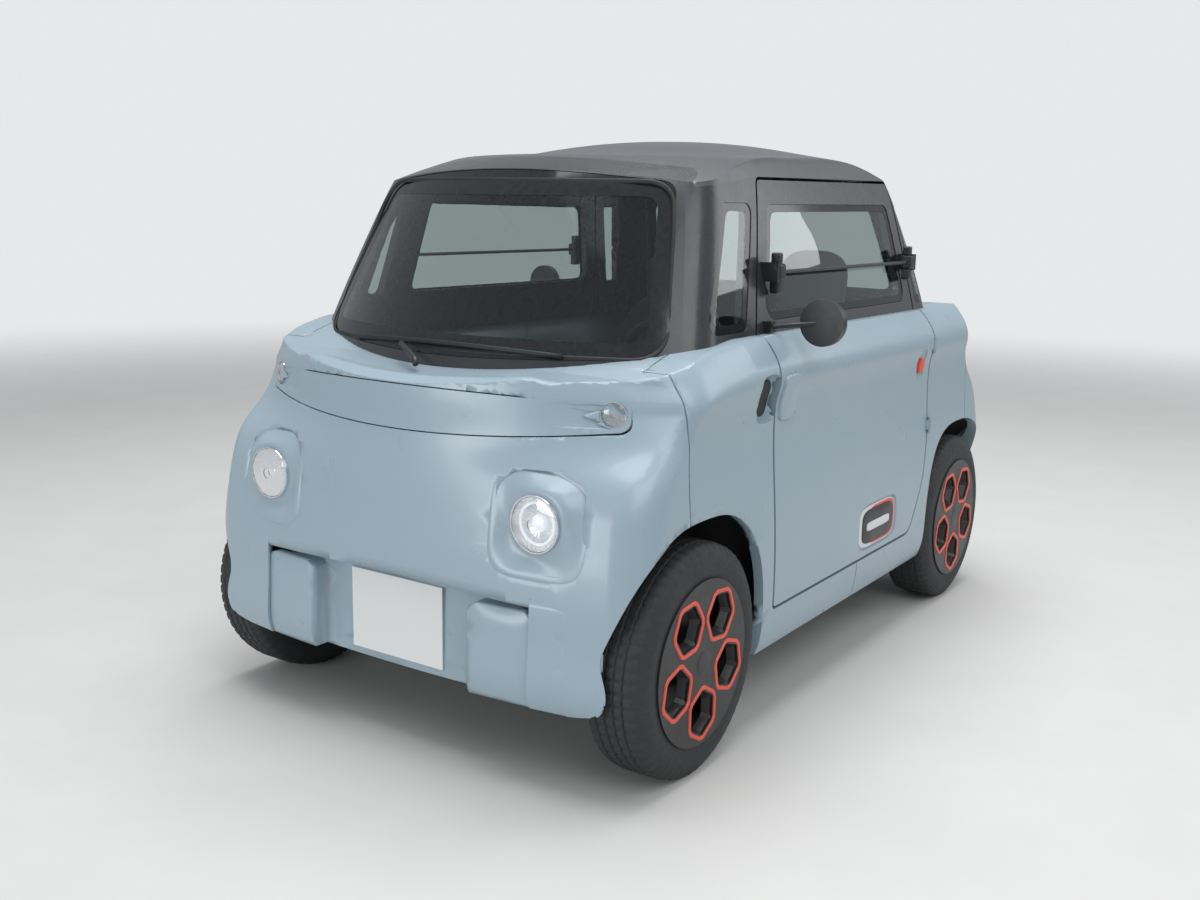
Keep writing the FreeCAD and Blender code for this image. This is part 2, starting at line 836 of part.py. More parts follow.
def make_lamps():
    heads = [lamp(lamp_x, side * lamp_y, lamp_z, lamp_radius, lamp_depth) for side in (1, -1)]
    save("headlamps", *heads)
    save("tail_lamps", *[turned(head) for head in heads])
    blinkers = [lamp(blinker_x, side * blinker_y, blinker_z, blinker_radius, blinker_depth)
                for side in (1, -1)]
    save("indicators", *blinkers, *[turned(blinker) for blinker in blinkers])
    plate = block(plate_x, plate_x + plate_thickness, -plate_width / 2, plate_width / 2,
                  plate_bottom, plate_bottom + plate_height)
    save("number_plates", plate, turned(plate))


def chassis_shape():
    # Two rails with cross members and the towers of the front springs
    rail_face = rail_y + rail_width
    pieces = []
    for side in (1, -1):
        y0, y1 = sorted((side * rail_y, side * rail_face))
        pieces.append(block(-rail_half, rail_half, y0, y1, floor_top, floor_top + rail_height))
        y0, y1 = sorted((side * (rail_face - tower_wall), side * rail_face))
        pieces.append(block(axle_x - tower_half, axle_x + tower_half, y0, y1, floor_top,
                            spring_top_z + tower_wall))
        y0, y1 = sorted((side * (rail_face - tower_wall), side * tower_reach))
        pieces.append(block(axle_x - tower_half, axle_x + tower_half, y0, y1, spring_top_z,
                            spring_top_z + tower_wall))
    for x in cross_member_places:
        pieces.append(block(x - cross_half, x + cross_half, -rail_y, rail_y, floor_top,
                            floor_top + cross_height))
    return pieces[0].fuse(pieces[1:]).removeSplitter()


def make_chassis():
    floor = block(-floor_half, floor_half, -far, far, floor_bottom, floor_top).common(body_inner)
    save("floor_pan", floor)
    save("chassis_frame", chassis)
    save("battery_box", block(battery_rear, battery_front, -battery_half, battery_half,
                              floor_top + cross_height, battery_top))
    save("motor_block", block(axle_x - motor_half, axle_x + motor_half, -motor_width / 2,
                              motor_width / 2, floor_top + cross_height, motor_top))


def make_liners():
    liners = []
    for x in (axle_x, -axle_x):
        radius_gain = liner_clearance if x > 0 else rear_liner_clearance
        outer = arch_prism(x, liner_inner_y - liner_wall, liner_outer_y, -radius_gain - liner_wall)
        inner = arch_prism(x, liner_inner_y, far, -radius_gain)
        half = arch_half_width + radius_gain + liner_wall
        x0, x1 = sorted((math.copysign(liner_reach, x), x - math.copysign(half, x)))
        keep = block(x0, x1, 0, far, liner_bottom, far)
        side_opening = block(x - half, x + half, 0, liner_inner_y, 0, liner_side_bottom)
        liner = outer.cut(inner).common(keep).common(body_inner).cut(side_opening)
        lamp_space = lamp(lamp_x, lamp_y, lamp_z, lamp_radius + trim_clearance, lamp_depth + trim_clearance)
        liner = liner.cut([deep_wall, turned(deep_wall), tower_space(), lamp_space, turned(mirrored(lamp_space))])
        liners += [liner, mirrored(liner)]
    save("arch_liners", *liners)


def tower_space():
    # Opening of the liner's inner wall for the spring tower
    half = tower_half + trim_clearance
    return block(axle_x - half, axle_x + half, 0, liner_inner_y, liner_side_bottom,
                 spring_top_z + tower_wall + trim_clearance)


def wishbone(ball_centre, stem, spread, inner_z, radius):
    # Ball, its stem and the two legs that run in to the chassis
    end = ball_centre + stem
    rail_face = rail_y + rail_width
    legs = [rod(Vector(axle_x + offset, rail_face, inner_z), end, radius) for offset in (spread, -spread)]
    ball = Part.makeSphere(ball_radius, ball_centre)
    return ball.fuse([rod(ball_centre, end, ball_stem), Part.makeSphere(radius * arm_end_share, end)] + legs)


def make_front_suspension():
    low = Vector(axle_x, kingpin_y, kingpin_low_z)
    high = Vector(axle_x, kingpin_y, kingpin_high_z)
    drop = Vector(0, 0, ball_drop)
    low_arm = wishbone(low, drop * -1, low_arm_spread, low_arm_z, arm_radius)
    high_arm = wishbone(high, drop, high_arm_spread, kingpin_high_z + ball_drop, high_arm_radius)
    along = (kingpin_y - damper_y) / (kingpin_y - rail_y - rail_width)
    eye_z = kingpin_low_z - ball_drop + (low_arm_z - kingpin_low_z + ball_drop) * along
    eye = Vector(axle_x, damper_y, eye_z)
    top = Vector(axle_x, spring_top_y, spring_top_z)
    across = Vector(low_arm_spread * along, 0, 0)
    rise = top - eye
    start = eye + rise * spring_start_share
    pieces = [rod(eye - across, eye + across, cross_bar_radius), rod(eye, top, damper_radius),
              rod(start, top, spring_core)]
    for turn in range(spring_turns):
        place = start + (top - start) * (turn / spring_turns)
        pieces.append(rod(place, place + Vector(rise).normalize() * spring_wire, spring_radius))
    low_arm = low_arm.fuse(pieces).cut(chassis)
    high_arm = high_arm.cut(chassis)
    save("front_suspension", low_arm, mirrored(low_arm), high_arm, mirrored(high_arm))


def make_knuckles():
    low = Vector(axle_x, kingpin_y, kingpin_low_z)
    high = Vector(axle_x, kingpin_y, kingpin_high_z)
    half = Vector(0, 0, socket_half)
    mouth = Vector(0, 0, ball_stem / 2)
    middle = Vector(axle_x, hub_face_y - housing_length / 2, axle_z)
    pieces = [
        rod(Vector(axle_x, hub_face_y - housing_length, axle_z), Vector(axle_x, hub_face_y, axle_z),
            housing_radius),
        rod(Vector(axle_x, hub_face_y, axle_z), Vector(axle_x, wheel_middle + spindle_reach, axle_z),
            spindle_radius),
        rod(low + half, high - half, upright_radius),
        rod(low - half, low + half, socket_radius),
        rod(high - half, high + half, socket_radius),
        rod(middle, Vector(axle_x - steer_arm_length, steer_arm_y, axle_z), arm_radius),
    ]
    cone_wide = socket_radius * 2
    openings = [Part.makeSphere(ball_radius + running_gap, centre) for centre in (low, high)]
    openings.append(Part.makeCone(ball_mouth, cone_wide, cone_wide, low - mouth, Vector(0, 0, -1)))
    openings.append(Part.makeCone(ball_mouth, cone_wide, cone_wide, high + mouth, Vector(0, 0, 1)))
    knuckle = pieces[0].fuse(pieces[1:]).cut(openings)
    save("knuckle_left", knuckle)
    save("knuckle_right", mirrored(knuckle))


def make_rear_suspension():
    tube = rod(Vector(-axle_x, -beam_half, axle_z), Vector(-axle_x, beam_half, axle_z), beam_radius)
    pieces = []
    for side in (1, -1):
        housing = rod(Vector(-axle_x, side * beam_half, axle_z), Vector(-axle_x, side * hub_face_y, axle_z),
                      housing_radius)
        spindle = rod(Vector(-axle_x, side * hub_face_y, axle_z),
                      Vector(-axle_x, side * (wheel_middle + spindle_reach), axle_z), spindle_radius)
        pieces += [housing, spindle, trailing_arm(side, arm_radius)]
    save("rear_suspension", tube.fuse(pieces).cut(rear_rails()))


def trailing_arm(side, radius):
    return rod(Vector(-axle_x, side * trailing_y, axle_z),
               Vector(-axle_x + trailing_length, side * (rail_y + rail_width / 2), trailing_z), radius)


def rear_rails():
    return [block(-rail_half, rail_half, side * rail_y if side > 0 else -rail_y - rail_width,
                  rail_y + rail_width if side > 0 else -rail_y, floor_top, floor_top + rail_height)
            for side in (1, -1)]


def hexagon(radius_out, turn):
    # Six-cornered opening of the wheel cover, centred on its own spot
    points = []
    for index in range(6):
        angle = turn + math.pi / 3 * index
        points.append((hex_middle * math.cos(turn) + radius_out * math.cos(angle),
                       hex_middle * math.sin(turn) + radius_out * math.sin(angle), hex_round))
    return points


def make_wheels():
    outer = tyre_diameter / 2
    half = tyre_width / 2
    bead = half - bead_inset
    profile = [
        Vector(0, -bead, rim_radius), Vector(0, -half, (outer + rim_radius) / 2),
        Vector(0, -half + shoulder_width, outer - shoulder_drop), Vector(0, -half + tread_edge, outer),
        Vector(0, half - tread_edge, outer), Vector(0, half - shoulder_width, outer - shoulder_drop),
        Vector(0, half, (outer + rim_radius) / 2), Vector(0, bead, rim_radius),
        Vector(0, bead - tyre_wall, rim_radius),
        Vector(0, half - tyre_wall, (outer + rim_radius) / 2), Vector(0, half - tread_edge - tyre_wall, outer - tyre_wall),
        Vector(0, -half + tread_edge + tyre_wall, outer - tyre_wall), Vector(0, -half + tyre_wall, (outer + rim_radius) / 2),
        Vector(0, -bead + tyre_wall, rim_radius),
    ]
    tyre = Part.Face(Part.makePolygon(profile + [profile[0]])).revolve(Vector(0, 0, 0), Vector(0, 1, 0), 360)
    rim_outer = rim_radius
    barrel = pipe(Vector(0, -bead, 0), Vector(0, bead, 0), rim_outer, rim_outer - rim_wall)
    face_y = half - cover_inset
    cover = rod(Vector(0, face_y - cover_thickness, 0), Vector(0, face_y, 0), cover_radius)
    holes = []
    rings = []
    for index in range(hex_count):
        turn = 2 * math.pi * index / hex_count - math.pi / 2
        loop = rounded_loop(hexagon(hex_radius, turn), lambda p: Vector(p.x, face_y - cover_thickness, p.y))
        holes.append(Part.Face(loop).extrude(Vector(0, 2 * cover_thickness, 0)))
    disc = rod(Vector(0, disc_y, 0), Vector(0, disc_y + disc_thickness, 0), rim_outer - rim_wall / 2)
    hub = rod(Vector(0, hub_face_y + running_gap - wheel_middle, 0), Vector(0, face_y, 0), hub_radius)
    rim = cover.cut(holes).fuse([barrel, disc, hub])
    rim = rim.cut(rod(Vector(0, -tyre_width, 0), Vector(0, spindle_reach + running_gap, 0),
                      spindle_radius + running_gap))
    for end, x in (("front", axle_x), ("rear", -axle_x)):
        for side, sign in (("left", 1), ("right", -1)):
            place = Vector(x, sign * wheel_middle, axle_z)
            for kind, shape in (("tyre", tyre), ("wheel", rim)):
                piece = shape.copy() if sign > 0 else mirrored(shape)
                piece.translate(place)
                save(kind + "_" + end + "_" + side, piece)


def make_interior():
    inside = body_solid(shell_wall + trim_clearance)
    wall_zone = cabin_outer.cut(cabin_solid(pillar_wall + trim_clearance))
    main = side_prism(dash_outline, -far, far)
    shelf = block(dash_front, cowl_front, -far, far, cowl_top - shelf_wall, cowl_top)
    dash = main.fuse(shelf).common(inside).cut(wall_zone)
    save("dashboard", dash)
    centre = Vector(wheel_centre_x, driver_y, wheel_centre_z)
    tilt = math.radians(column_tilt)
    along = Vector(-math.cos(tilt), 0, math.sin(tilt))
    ring = Part.makeTorus(wheel_rim_radius, wheel_rim_section, centre, along)
    boss = rod(centre - along * wheel_boss_depth, centre + along * wheel_rim_section, wheel_boss_radius)
    side_axis = Vector(0, 1, 0)
    down = along.cross(side_axis)
    spokes = [rod(centre, centre + direction * wheel_rim_radius, spoke_radius)
              for direction in (side_axis, side_axis * -1, down)]
    save("steering_wheel", ring.fuse([boss] + spokes))
    column_start = centre - along * (wheel_boss_depth + running_gap)
    column = rod(column_start, column_start - along * column_length, column_radius)
    save("steering_column", column.cut(dash))
    for side, y, x in (("left", driver_y, driver_x), ("right", -driver_y, passenger_x)):
        save("seat_" + side, seat(x, y))
    wall = block(bulkhead_x, bulkhead_x + bulkhead_wall, -far, far, floor_top, shelf_z)
    shelf = block(bulkhead_x, shelf_end, -far, far, shelf_z - bulkhead_wall, shelf_z)
    arches = [arch_prism(axle_x, y0, y1, -liner_clearance - liner_wall - trim_clearance)
              for y0, y1 in ((liner_inner_y - liner_wall - trim_clearance, far),
                             (-far, trim_clearance + liner_wall - liner_inner_y))]
    wall = wall.common(inside).cut(arches)
    save("firewall", wall.cut([chassis, dash]))
    arm_spaces = [trailing_arm(side, arm_radius + trim_clearance) for side in (1, -1)]
    save("rear_bulkhead", turned(wall.fuse(shelf.common(inside))).cut([chassis] + arm_spaces))


def seat(x, y):
    # Cushion, back and head rest in one side outline each, on a plinth
    def piece(outline, half):
        corners = [(x + along, seat_low + up, radius) for along, up, radius in outline]
        return side_prism(corners, y - half, y + half)

    plinth = block(x + seat_inset, x + seat_length - seat_inset, y - seat_half + seat_inset,
                   y + seat_half - seat_inset, battery_top + seat_gap, seat_low + seat_inset)
    return piece(seat_outline, seat_half).fuse([piece(head_outline, head_half), plinth])


deep_wall, low_space, plate_pad = low_recess()
chassis = chassis_shape()
make_body_panels()
make_cabin()
make_doors()
make_lamps()
make_chassis()
make_liners()
make_front_suspension()
make_knuckles()
make_rear_suspension()
make_wheels()
make_interior()
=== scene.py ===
# Microcar: finer forms, looks, camera and studio around the carried-over solids, in metres and degrees
import json
import math

import bmesh
import bpy
from mathutils import Matrix, Vector
from mathutils.bvhtree import BVHTree


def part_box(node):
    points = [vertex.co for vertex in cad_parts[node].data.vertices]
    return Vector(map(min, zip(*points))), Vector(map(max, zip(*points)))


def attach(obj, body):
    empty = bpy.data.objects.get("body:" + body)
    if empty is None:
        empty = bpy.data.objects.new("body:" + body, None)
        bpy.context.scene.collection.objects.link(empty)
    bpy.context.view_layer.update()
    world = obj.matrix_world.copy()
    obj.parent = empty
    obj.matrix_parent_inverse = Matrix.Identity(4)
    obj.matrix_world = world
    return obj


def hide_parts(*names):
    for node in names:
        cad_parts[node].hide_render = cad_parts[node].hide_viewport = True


# Camera, matched to the photograph
camera_place = (3.2312, 1.9957, 1.3069)
camera_azimuth = 34.2
camera_rise = 11.2
camera_roll = 1.0
camera_lens = 37.13
sensor_width = 36.0

# Floor and backdrop
floor_size = 60.0
floor_look = ((0.60, 0.60, 0.59), (0.7, 0.8), dict(tone=0.02, grain=60.0))
floor_fade = (4.5, 11.0)
backdrop_colour = (0.80, 0.81, 0.82)
sky_colour = (0.93, 0.96, 1.0)
sky_strength = 0.42

# Lamps of the studio: name, place, target, size and power
studio_lights = [
    ("key", (3.2, 4.6, 4.9), (0, 0, 0.6), (4.0, 4.0), 130.0),
    ("top", (0.0, 0.0, 6.0), (0, 0, 0), (6.0, 4.0), 330.0),
    ("front", (7.0, -1.5, 1.3), (0, 0, 0.6), (3.0, 2.0), 110.0),
    ("back", (-5.0, 4.5, 4.0), (0, 0, 0.6), (4.0, 4.0), 90.0),
]

# Noise and grain that all surfaces share
noise_detail = 3.0
noise_roughness = 0.55
noise_range = (0.3, 0.7)
smudge_factor = 7
grain_detail = 2.0
grain_strength = 0.4
coat_roughness = 0.12

# Surfaces: colour, range of roughness and what differs from a plain moulding
surfaces = {
    "body_paint": ((0.285, 0.375, 0.435), (0.27, 0.33),
                   dict(tone=0.015, tone_scale=1.2, grain=700.0, grain_depth=0.00003, coat=0.15)),
    "dark_frame": ((0.030, 0.032, 0.037), (0.24, 0.32),
                   dict(tone=0.05, grain=900.0, grain_depth=0.00003, coat=0.2)),
    "roof_black": ((0.060, 0.064, 0.072), (0.30, 0.38),
                   dict(tone=0.05, grain=900.0, grain_depth=0.00003, coat=0.2)),
    "seal_rubber": ((0.010, 0.010, 0.011), (0.5, 0.6), dict(grain=1500.0)),
    "black_plastic": ((0.015, 0.015, 0.017), (0.32, 0.45), dict(grain=1400.0)),
    "chassis_steel": ((0.030, 0.030, 0.033), (0.5, 0.65), dict(tone=0.15, grain=300.0)),
    "suspension_steel": ((0.040, 0.040, 0.043), (0.4, 0.55), dict(tone=0.12, grain=300.0, metallic=0.3)),
    "cast_metal": ((0.42, 0.42, 0.43), (0.45, 0.6),
                   dict(tone=0.1, grain=220.0, grain_depth=0.0004, metallic=0.9)),
    "plate_white": ((0.70, 0.71, 0.71), (0.3, 0.4), dict(tone=0.01)),
    "badge_white": ((0.66, 0.67, 0.67), (0.3, 0.4), dict(tone=0.01)),
    "tyre_rubber": ((0.024, 0.025, 0.027), (0.62, 0.78),
                    dict(tone=0.12, tone_scale=9.0, grain=500.0, grain_depth=0.0002)),
    "wheel_black": ((0.020, 0.020, 0.022), (0.36, 0.46), dict(grain=1200.0)),
    "orange_red": ((0.72, 0.075, 0.035), (0.32, 0.42), dict(tone=0.03, grain=900.0)),
    "chrome": ((0.75, 0.76, 0.78), (0.08, 0.14), dict(tone=0.02, metallic=1.0)),
    "reflector": ((0.72, 0.74, 0.77), (0.12, 0.2),
                  dict(tone=0.02, metallic=0.8, glow=(0.93, 0.97, 1.0), glow_strength=0.10)),
    "lamp_light": ((0.80, 0.81, 0.82), (0.2, 0.3),
                   dict(tone=0.01, glow=(0.95, 0.98, 1.0), glow_strength=0.35)),
    "signal_bowl": ((0.62, 0.63, 0.65), (0.15, 0.22),
                    dict(tone=0.04, metallic=0.5, glow=(1.0, 0.97, 0.93), glow_strength=0.08)),
    "red_bowl": ((0.60, 0.06, 0.06), (0.15, 0.25), dict(tone=0.05, metallic=0.5)),
    "lens_red": ((0.45, 0.012, 0.014), (0.08, 0.14), dict(tone=0.05, coat=0.6)),
}

# Clear materials, and the dark print round the windows
clear_tints = {"lens_clear": (0.96, 0.97, 0.98), "red_glass": (0.80, 0.03, 0.03)}
window_tint = (0.78, 0.86, 0.84)
glass_bend = 1.45
pane_tone = 0.97
pane_tone_scale = 2.0
pane_shadow = 0.9
print_colours = ((0.012, 0.013, 0.015), (0.020, 0.021, 0.024))
print_scale = 60.0
print_roughness = 0.09

# Seat fabric
fabric_colour = (0.045, 0.050, 0.056)
fabric_tone = 0.15
fabric_tone_scale = 14.0
fabric_roughness = (0.8, 0.95)
fabric_roughness_scale = 60.0
fabric_sheen = 0.25
threads = 900.0
thread_wander = 0.6
thread_strength = 0.5
thread_depth = 0.0004

# Window edges as (forward or across, up) corners
windshield_corners = [(0.54, 0.96), (0.452, 1.364), (-0.452, 1.364), (-0.54, 0.96)]
rear_window_corners = [(0.5, 1.01), (0.43, 1.356), (-0.43, 1.356), (-0.5, 1.01)]
door_window_corners = [(0.34, 1.316), (0.456, 1.03), (-0.5, 1.03), (-0.462, 1.322)]
quarter_corners = [[(0.572, 1.318), (0.745, 1.012), (0.558, 1.012), (0.424, 1.318)],
                   [(-0.532, 1.318), (-0.584, 1.022), (-0.668, 1.022), (-0.58, 1.318)]]

# Window looks: edges, width of the dark print, roundness of its corners, whether seen from the side
window_looks = {
    "windshield_glass": ([windshield_corners], 0.036, 0.05, False),
    "rear_glass": ([rear_window_corners], 0.036, 0.05, False),
    "door_glass": ([door_window_corners], 0.020, 0.04, True),
    "quarter_glass": (quarter_corners, 0.020, 0.03, True),
}

# Looks of carried-over nodes: by name for the windows, else by slot where the two names differ
node_looks = {
    "windshield": "windshield_glass",
    "rear_window": "rear_glass",
    "quarter_windows": "quarter_glass",
    "door_left_glass": "door_glass",
    "door_right_glass": "door_glass",
}
slot_looks = {"lamp_clear": "lens_clear", "lamp_red": "lens_red", "tyre": "tyre_rubber"}

# Steps and limits of drawing
ring_count = 72
fine_count = 96
weld_gap = 0.00001
view_start = 0.5
far_out = 2.0
side_plane = 0.8
skin_reach = 0.12
tip_share = 0.001
box_segments = 4
cutter_rise = 0.02
both_ends = (0, -1)
inner_end = (-1,)

# Angles above which an edge is drawn sharp
crease_skin = 30
crease_hood = 34
crease_turned = 35
crease_pad = 40
crease_box = 50

# Tyres: tread, and the wall as (in from the side, out from the rim seat or down from the tread)
tread_grooves = 4
tread_steps = 300
tread_half = 0.060
sipe_every = 5
sipe_depth = 0.004
groove_depth = 0.006
groove_width = 0.007
groove_lip = 0.001
groove_foot_share = 0.6
rim_seat_radius = 0.179
wall_low = [(0.014, 0.0), (0.010, 0.004), (0.003, 0.018)]
wall_high = [(0.003, 0.034), (0.006, 0.026)]
tyre_shoulder = (0.012, 0.012)
tread_edge_drop = 0.004

# Wheel covers: hexagon openings, their outlines and pocket walls, and the hub cap
hex_count = 5
hex_middle = 0.122
hex_inner = 0.056
hex_start = -math.pi / 2
hex_outline = 0.012
hex_rise = 0.003
hex_sink = 0.001
hex_bevel_share = 0.2
hex_corner_turns = (-0.12, 0.12)
hex_pocket = [(0.001, 1.0), (0.012, 0.90), (0.026, 0.78)]
hub_cap = [(-0.006, 0.036), (-0.001, 0.035), (0.0005, 0.031), (0.0005, 0.012)]

# Hood: height at its foot, fall per metre forward, side dish and shoulder line
hood_foot_x = 0.93
hood_foot_z = 0.926
hood_fall = 0.065
hood_dish_radius = 3.6
hood_roll_start = 0.50
hood_roll_radius = 0.25
shoulder_line = [(0.64, 1.0), (0.78, 0.985), (0.851, 0.968), (0.93, 0.945), (0.98, 0.932), (1.1, 0.92)]
hood_zone_low = 0.80
hood_edge_gap = 0.02

# Hood of the solids, and the grid that cuts it
cad_hood_axis_z = -1.608
cad_hood_radius = 2.765
belt_z = 1.0
hood_cut_x = (0.64, 1.18)
hood_cut_y = (-0.66, 0.66)
hood_cut_z = (0.81, 0.99)
hood_step = 0.03
hood_step_up = 0.02

# Lip in front of the hood, which keeps its height
nose_tip_x = 1.151
nose_bow = 0.507
lip_half = 0.40
lip_fade = 0.08
lip_depth = 0.05

# Roof: how far the plain dome comes down, from the rear to the front
roof_fixed_z = 1.425
roof_fixed_rise = 0.06
roof_drop = [(-0.55, 0.0), (-0.30, 0.008), (0.0, 0.026), (0.30, 0.036), (0.70, 0.036)]

# Nose corners beside the pads
nose_close_y = (0.420, 0.600)
nose_close_z = (0.2055, 0.462)
nose_low_rows = [0.208, 0.212, 0.22, 0.235]
nose_even_z = 0.25
nose_row_step = 0.02
nose_columns = 18
nose_probe = 0.516
nose_lean = 0.145
nose_lift = 0.0002
nose_dip = 0.0022
nose_blend = 0.020
nose_blend_y = 0.505
nose_blend_z = 0.440
nose_hole = (0.31, 0.37)
nose_wall = 0.014
nose_edge = 0.002
nose_sheet = 0.0025

# Bands: scoop that deepens towards each indicator
scoop_place = (1.05, 0.462, 0.856)
scoop_half = (0.094, 0.028)
scoop_power = 5.0
scoop_depths = [(0.97, 0.001), (0.85, 0.005), (0.5, 0.006)]
scoop_least_share = 0.05
scoop_run = 0.17

# Lamps: (forward, across, up) places, and the recess round each main lamp
headlamp_place = (1.163, 0.422, 0.626)
headlamp_radius = 0.066
indicator_place = (1.019, 0.527, 0.858)
indicator_radius = 0.030
indicator_turn = 22.0
end_lamps = {
    "front": ("reflector", "lens_clear", "headlamps"),
    "rear": ("red_bowl", "red_glass", "tail_lamps"),
}
recess_middle = (0.424, 0.624)
recess_half = 0.126
recess_power = 4.5
recess_rings = 25
recess_lip = 0.0008
recess_lip_share = 0.12
recess_fall = 1.3
recess_end_share = 0.97
recess_behind = 0.006

# Lamp parts as (depth, share of the radius)
lamp_rim = [(-0.010, 1.0), (0.0, 1.0), (0.003, 0.985), (0.003, 0.95), (-0.004, 0.93), (-0.010, 0.93)]
lamp_bowl = [(-0.002, 0.94), (-0.010, 0.80), (-0.018, 0.55), (-0.022, 0.3)]
lamp_core = [(-0.020, 0.30), (-0.010, 0.28), (-0.006, 0.15)]
lamp_ring = [(-0.008, 0.74), (-0.004, 0.74), (-0.004, 0.66), (-0.008, 0.66)]
lamp_cover = [(0.0005, 0.95), (0.0035, 0.93), (0.0065, 0.75), (0.0085, 0.5), (0.0095, 0.2)]
cover_wall = 0.002
cover_inner_share = 0.985
rib_rise = 0.003
rib_pitch = 4

# Dishes in the side skins: (forward, up), half sizes, corner power and (share, depth) steps
finger_dishes = [((0.568, 0.855), (0.053, 0.060), 4.0, [(0.97, 0.003), (0.88, 0.012), (0.80, 0.020)])]
door_dishes = [
    ((-0.163, 0.403), (0.146, 0.070), 5.0, [(0.97, 0.002), (0.94, 0.006), (0.5, 0.0065)]),
    ((-0.478, 0.842), (0.034, 0.050), 3.5, [(0.9, 0.003), (0.7, 0.006), (0.3, 0.007)]),
]
finger_nodes = {"left": "front_fender_left", "right": "rear_fender_right"}

# Pads on the side skins: the same with a name, (share, rise) steps, look and slot
finger_pads = [
    # The first pad is a dark sheet of painted shade near the floor of the finger pocket
    ("pocket_painted_shade", (0.560, 0.855), (0.025, 0.046), 2.6, [(1.0, -0.0195), (0.95, -0.017), (0.6, -0.017)],
     "seal_rubber", "black_plastic"),
    ("pocket_latch", (0.597, 0.853), (0.009, 0.031), 2.4, [(1.0, -0.0195), (0.9, -0.014), (0.5, -0.011)],
     "chrome", "suspension_steel"),
]
door_pads = [
    ("grip_pad", (0.455, 0.848), (0.046, 0.058), 5.0,
     [(1.0, -0.001), (0.99, 0.0035), (0.94, 0.0062), (0.6, 0.007)], "body_paint", "body_paint"),
    ("badge_rim", (-0.163, 0.403), (0.134, 0.062), 4.5, [(1.0, -0.0065), (0.99, -0.003), (0.95, -0.0025)],
     "badge_white", "plate_white"),
    ("badge_line", (-0.193, 0.403), (0.100, 0.058), 4.5, [(1.0, -0.0065), (0.99, -0.0025), (0.95, -0.0018)],
     "orange_red", "black_plastic"),
    ("badge", (-0.165, 0.403), (0.118, 0.052), 4.5,
     [(1.0, -0.0065), (0.98, -0.001), (0.94, 0.0), (0.5, 0.0003)], "black_plastic", "black_plastic"),
    ("badge_bar", (-0.163, 0.403), (0.086, 0.013), 6.0, [(1.0, -0.003), (0.98, 0.001), (0.9, 0.0015)],
     "badge_white", "plate_white"),
    ("knob", (-0.478, 0.836), (0.0235, 0.0235), 2.0,
     [(1.0, -0.007), (0.98, 0.002), (0.85, 0.005), (0.5, 0.006)], "orange_red", "black_plastic"),
]

# Brackets of the fold-up windows: (rise, half length, half height, depth) of the stacked blocks
bracket_places = (0.405, -0.490)
bracket_y = 0.588
bracket_z = 1.150
bracket_round = 0.005
bracket_blocks = [(0.0, 0.018, 0.020, 0.030), (0.034, 0.014, 0.014, 0.022), (-0.036, 0.015, 0.017, 0.024)]

# Windshield seal
seal_corner = 0.07
seal_corner_steps = 8
seal_step = 0.03
seal_least_x = 0.4
seal_rise = 0.001
seal_smoothings = 14
seal_radius = 0.006
seal_flat = 0.5

# Wiper: blade, and the arm as (across, up, rise from the glass)
blade_half = 0.33
blade_z = 0.962
blade_bow = 0.012
blade_steps = 12
blade_rise = (0.008, 0, 0.002)
blade_radius = 0.006
blade_flat = 0.7
arm_points = [(0.02, 0.935, 0.012), (0.00, 0.945, 0.018), (-0.05, 0.958, 0.020), (-0.10, 0.968, 0.014)]
arm_radius = 0.007
tube_count = 10
tube_side = (1, 0, 0.2)

# Seats: (forward, across) place of each; channels are (axis, places, width, depth)
seat_places = {"seat_left": (-0.360, 0.270), "seat_right": (-0.420, -0.270)}
seat_low = 0.440
long_channels = (1, (-0.105, 0.105), 0.006, 0.007)
# Cushions: (forward, up) from the seat's place, half sizes, lean, roundness (upright, level) and channels
seat_cushions = {
    "cushion": ((0.185, 0.045), (0.240, 0.202, 0.052), -4, (3.6, 5.0),
                [long_channels, (0, (-0.02, 0.10), 0.006, 0.006)]),
    "back": ((-0.082, 0.300), (0.046, 0.202, 0.262), -15, (3.2, 4.0),
             [long_channels, (2, (-0.08, 0.06, 0.19), 0.006, 0.006)]),
    "head": ((-0.153, 0.617), (0.036, 0.118, 0.118), -14, (3.0, 3.4), [(2, (-0.055,), 0.006, 0.004)]),
}
cushion_rings = 48
channel_least_reach = 0.02
seat_base_low = (-0.05, -0.19, 0.4005)
seat_base_high = (0.36, 0.19, 0.46)
seat_base_round = 0.02

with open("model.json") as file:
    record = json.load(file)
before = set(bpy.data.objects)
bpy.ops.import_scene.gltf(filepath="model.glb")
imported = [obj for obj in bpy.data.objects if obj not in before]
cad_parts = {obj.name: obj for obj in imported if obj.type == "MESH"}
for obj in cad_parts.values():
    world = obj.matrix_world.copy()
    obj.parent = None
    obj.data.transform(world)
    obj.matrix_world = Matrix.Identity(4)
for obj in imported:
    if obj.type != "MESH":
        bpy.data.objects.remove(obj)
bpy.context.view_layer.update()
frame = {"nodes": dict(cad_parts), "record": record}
sides = {"left": 1, "right": -1}
ends = {"front": 1, "rear": -1}
looks = {}
skins = {}


def connect(tree, node, values):
    # Sets each named input to a number, a colour or another node's output
    for name, value in values.items():
        if isinstance(value, bpy.types.NodeSocket):
            tree.links.new(value, node.inputs[name])
        else:
            node.inputs[name].default_value = value


def add_node(tree, kind, values):
    node = tree.nodes.new("ShaderNode" + kind)
    connect(tree, node, values)
    return node


def node_material(name):
    # New material with its node tree, shader and object coordinates
    material = bpy.data.materials.new(name)
    material.use_nodes = True
    tree = material.node_tree
    looks[name] = material
    return tree, tree.nodes["Principled BSDF"], add_node(tree, "TexCoord", {}).outputs["Object"]


def noise(tree, coords, scale, detail=noise_detail):
    values = {"Scale": scale, "Detail": detail, "Roughness": noise_roughness, "Vector": coords}
    return add_node(tree, "TexNoise", values).outputs["Fac"]


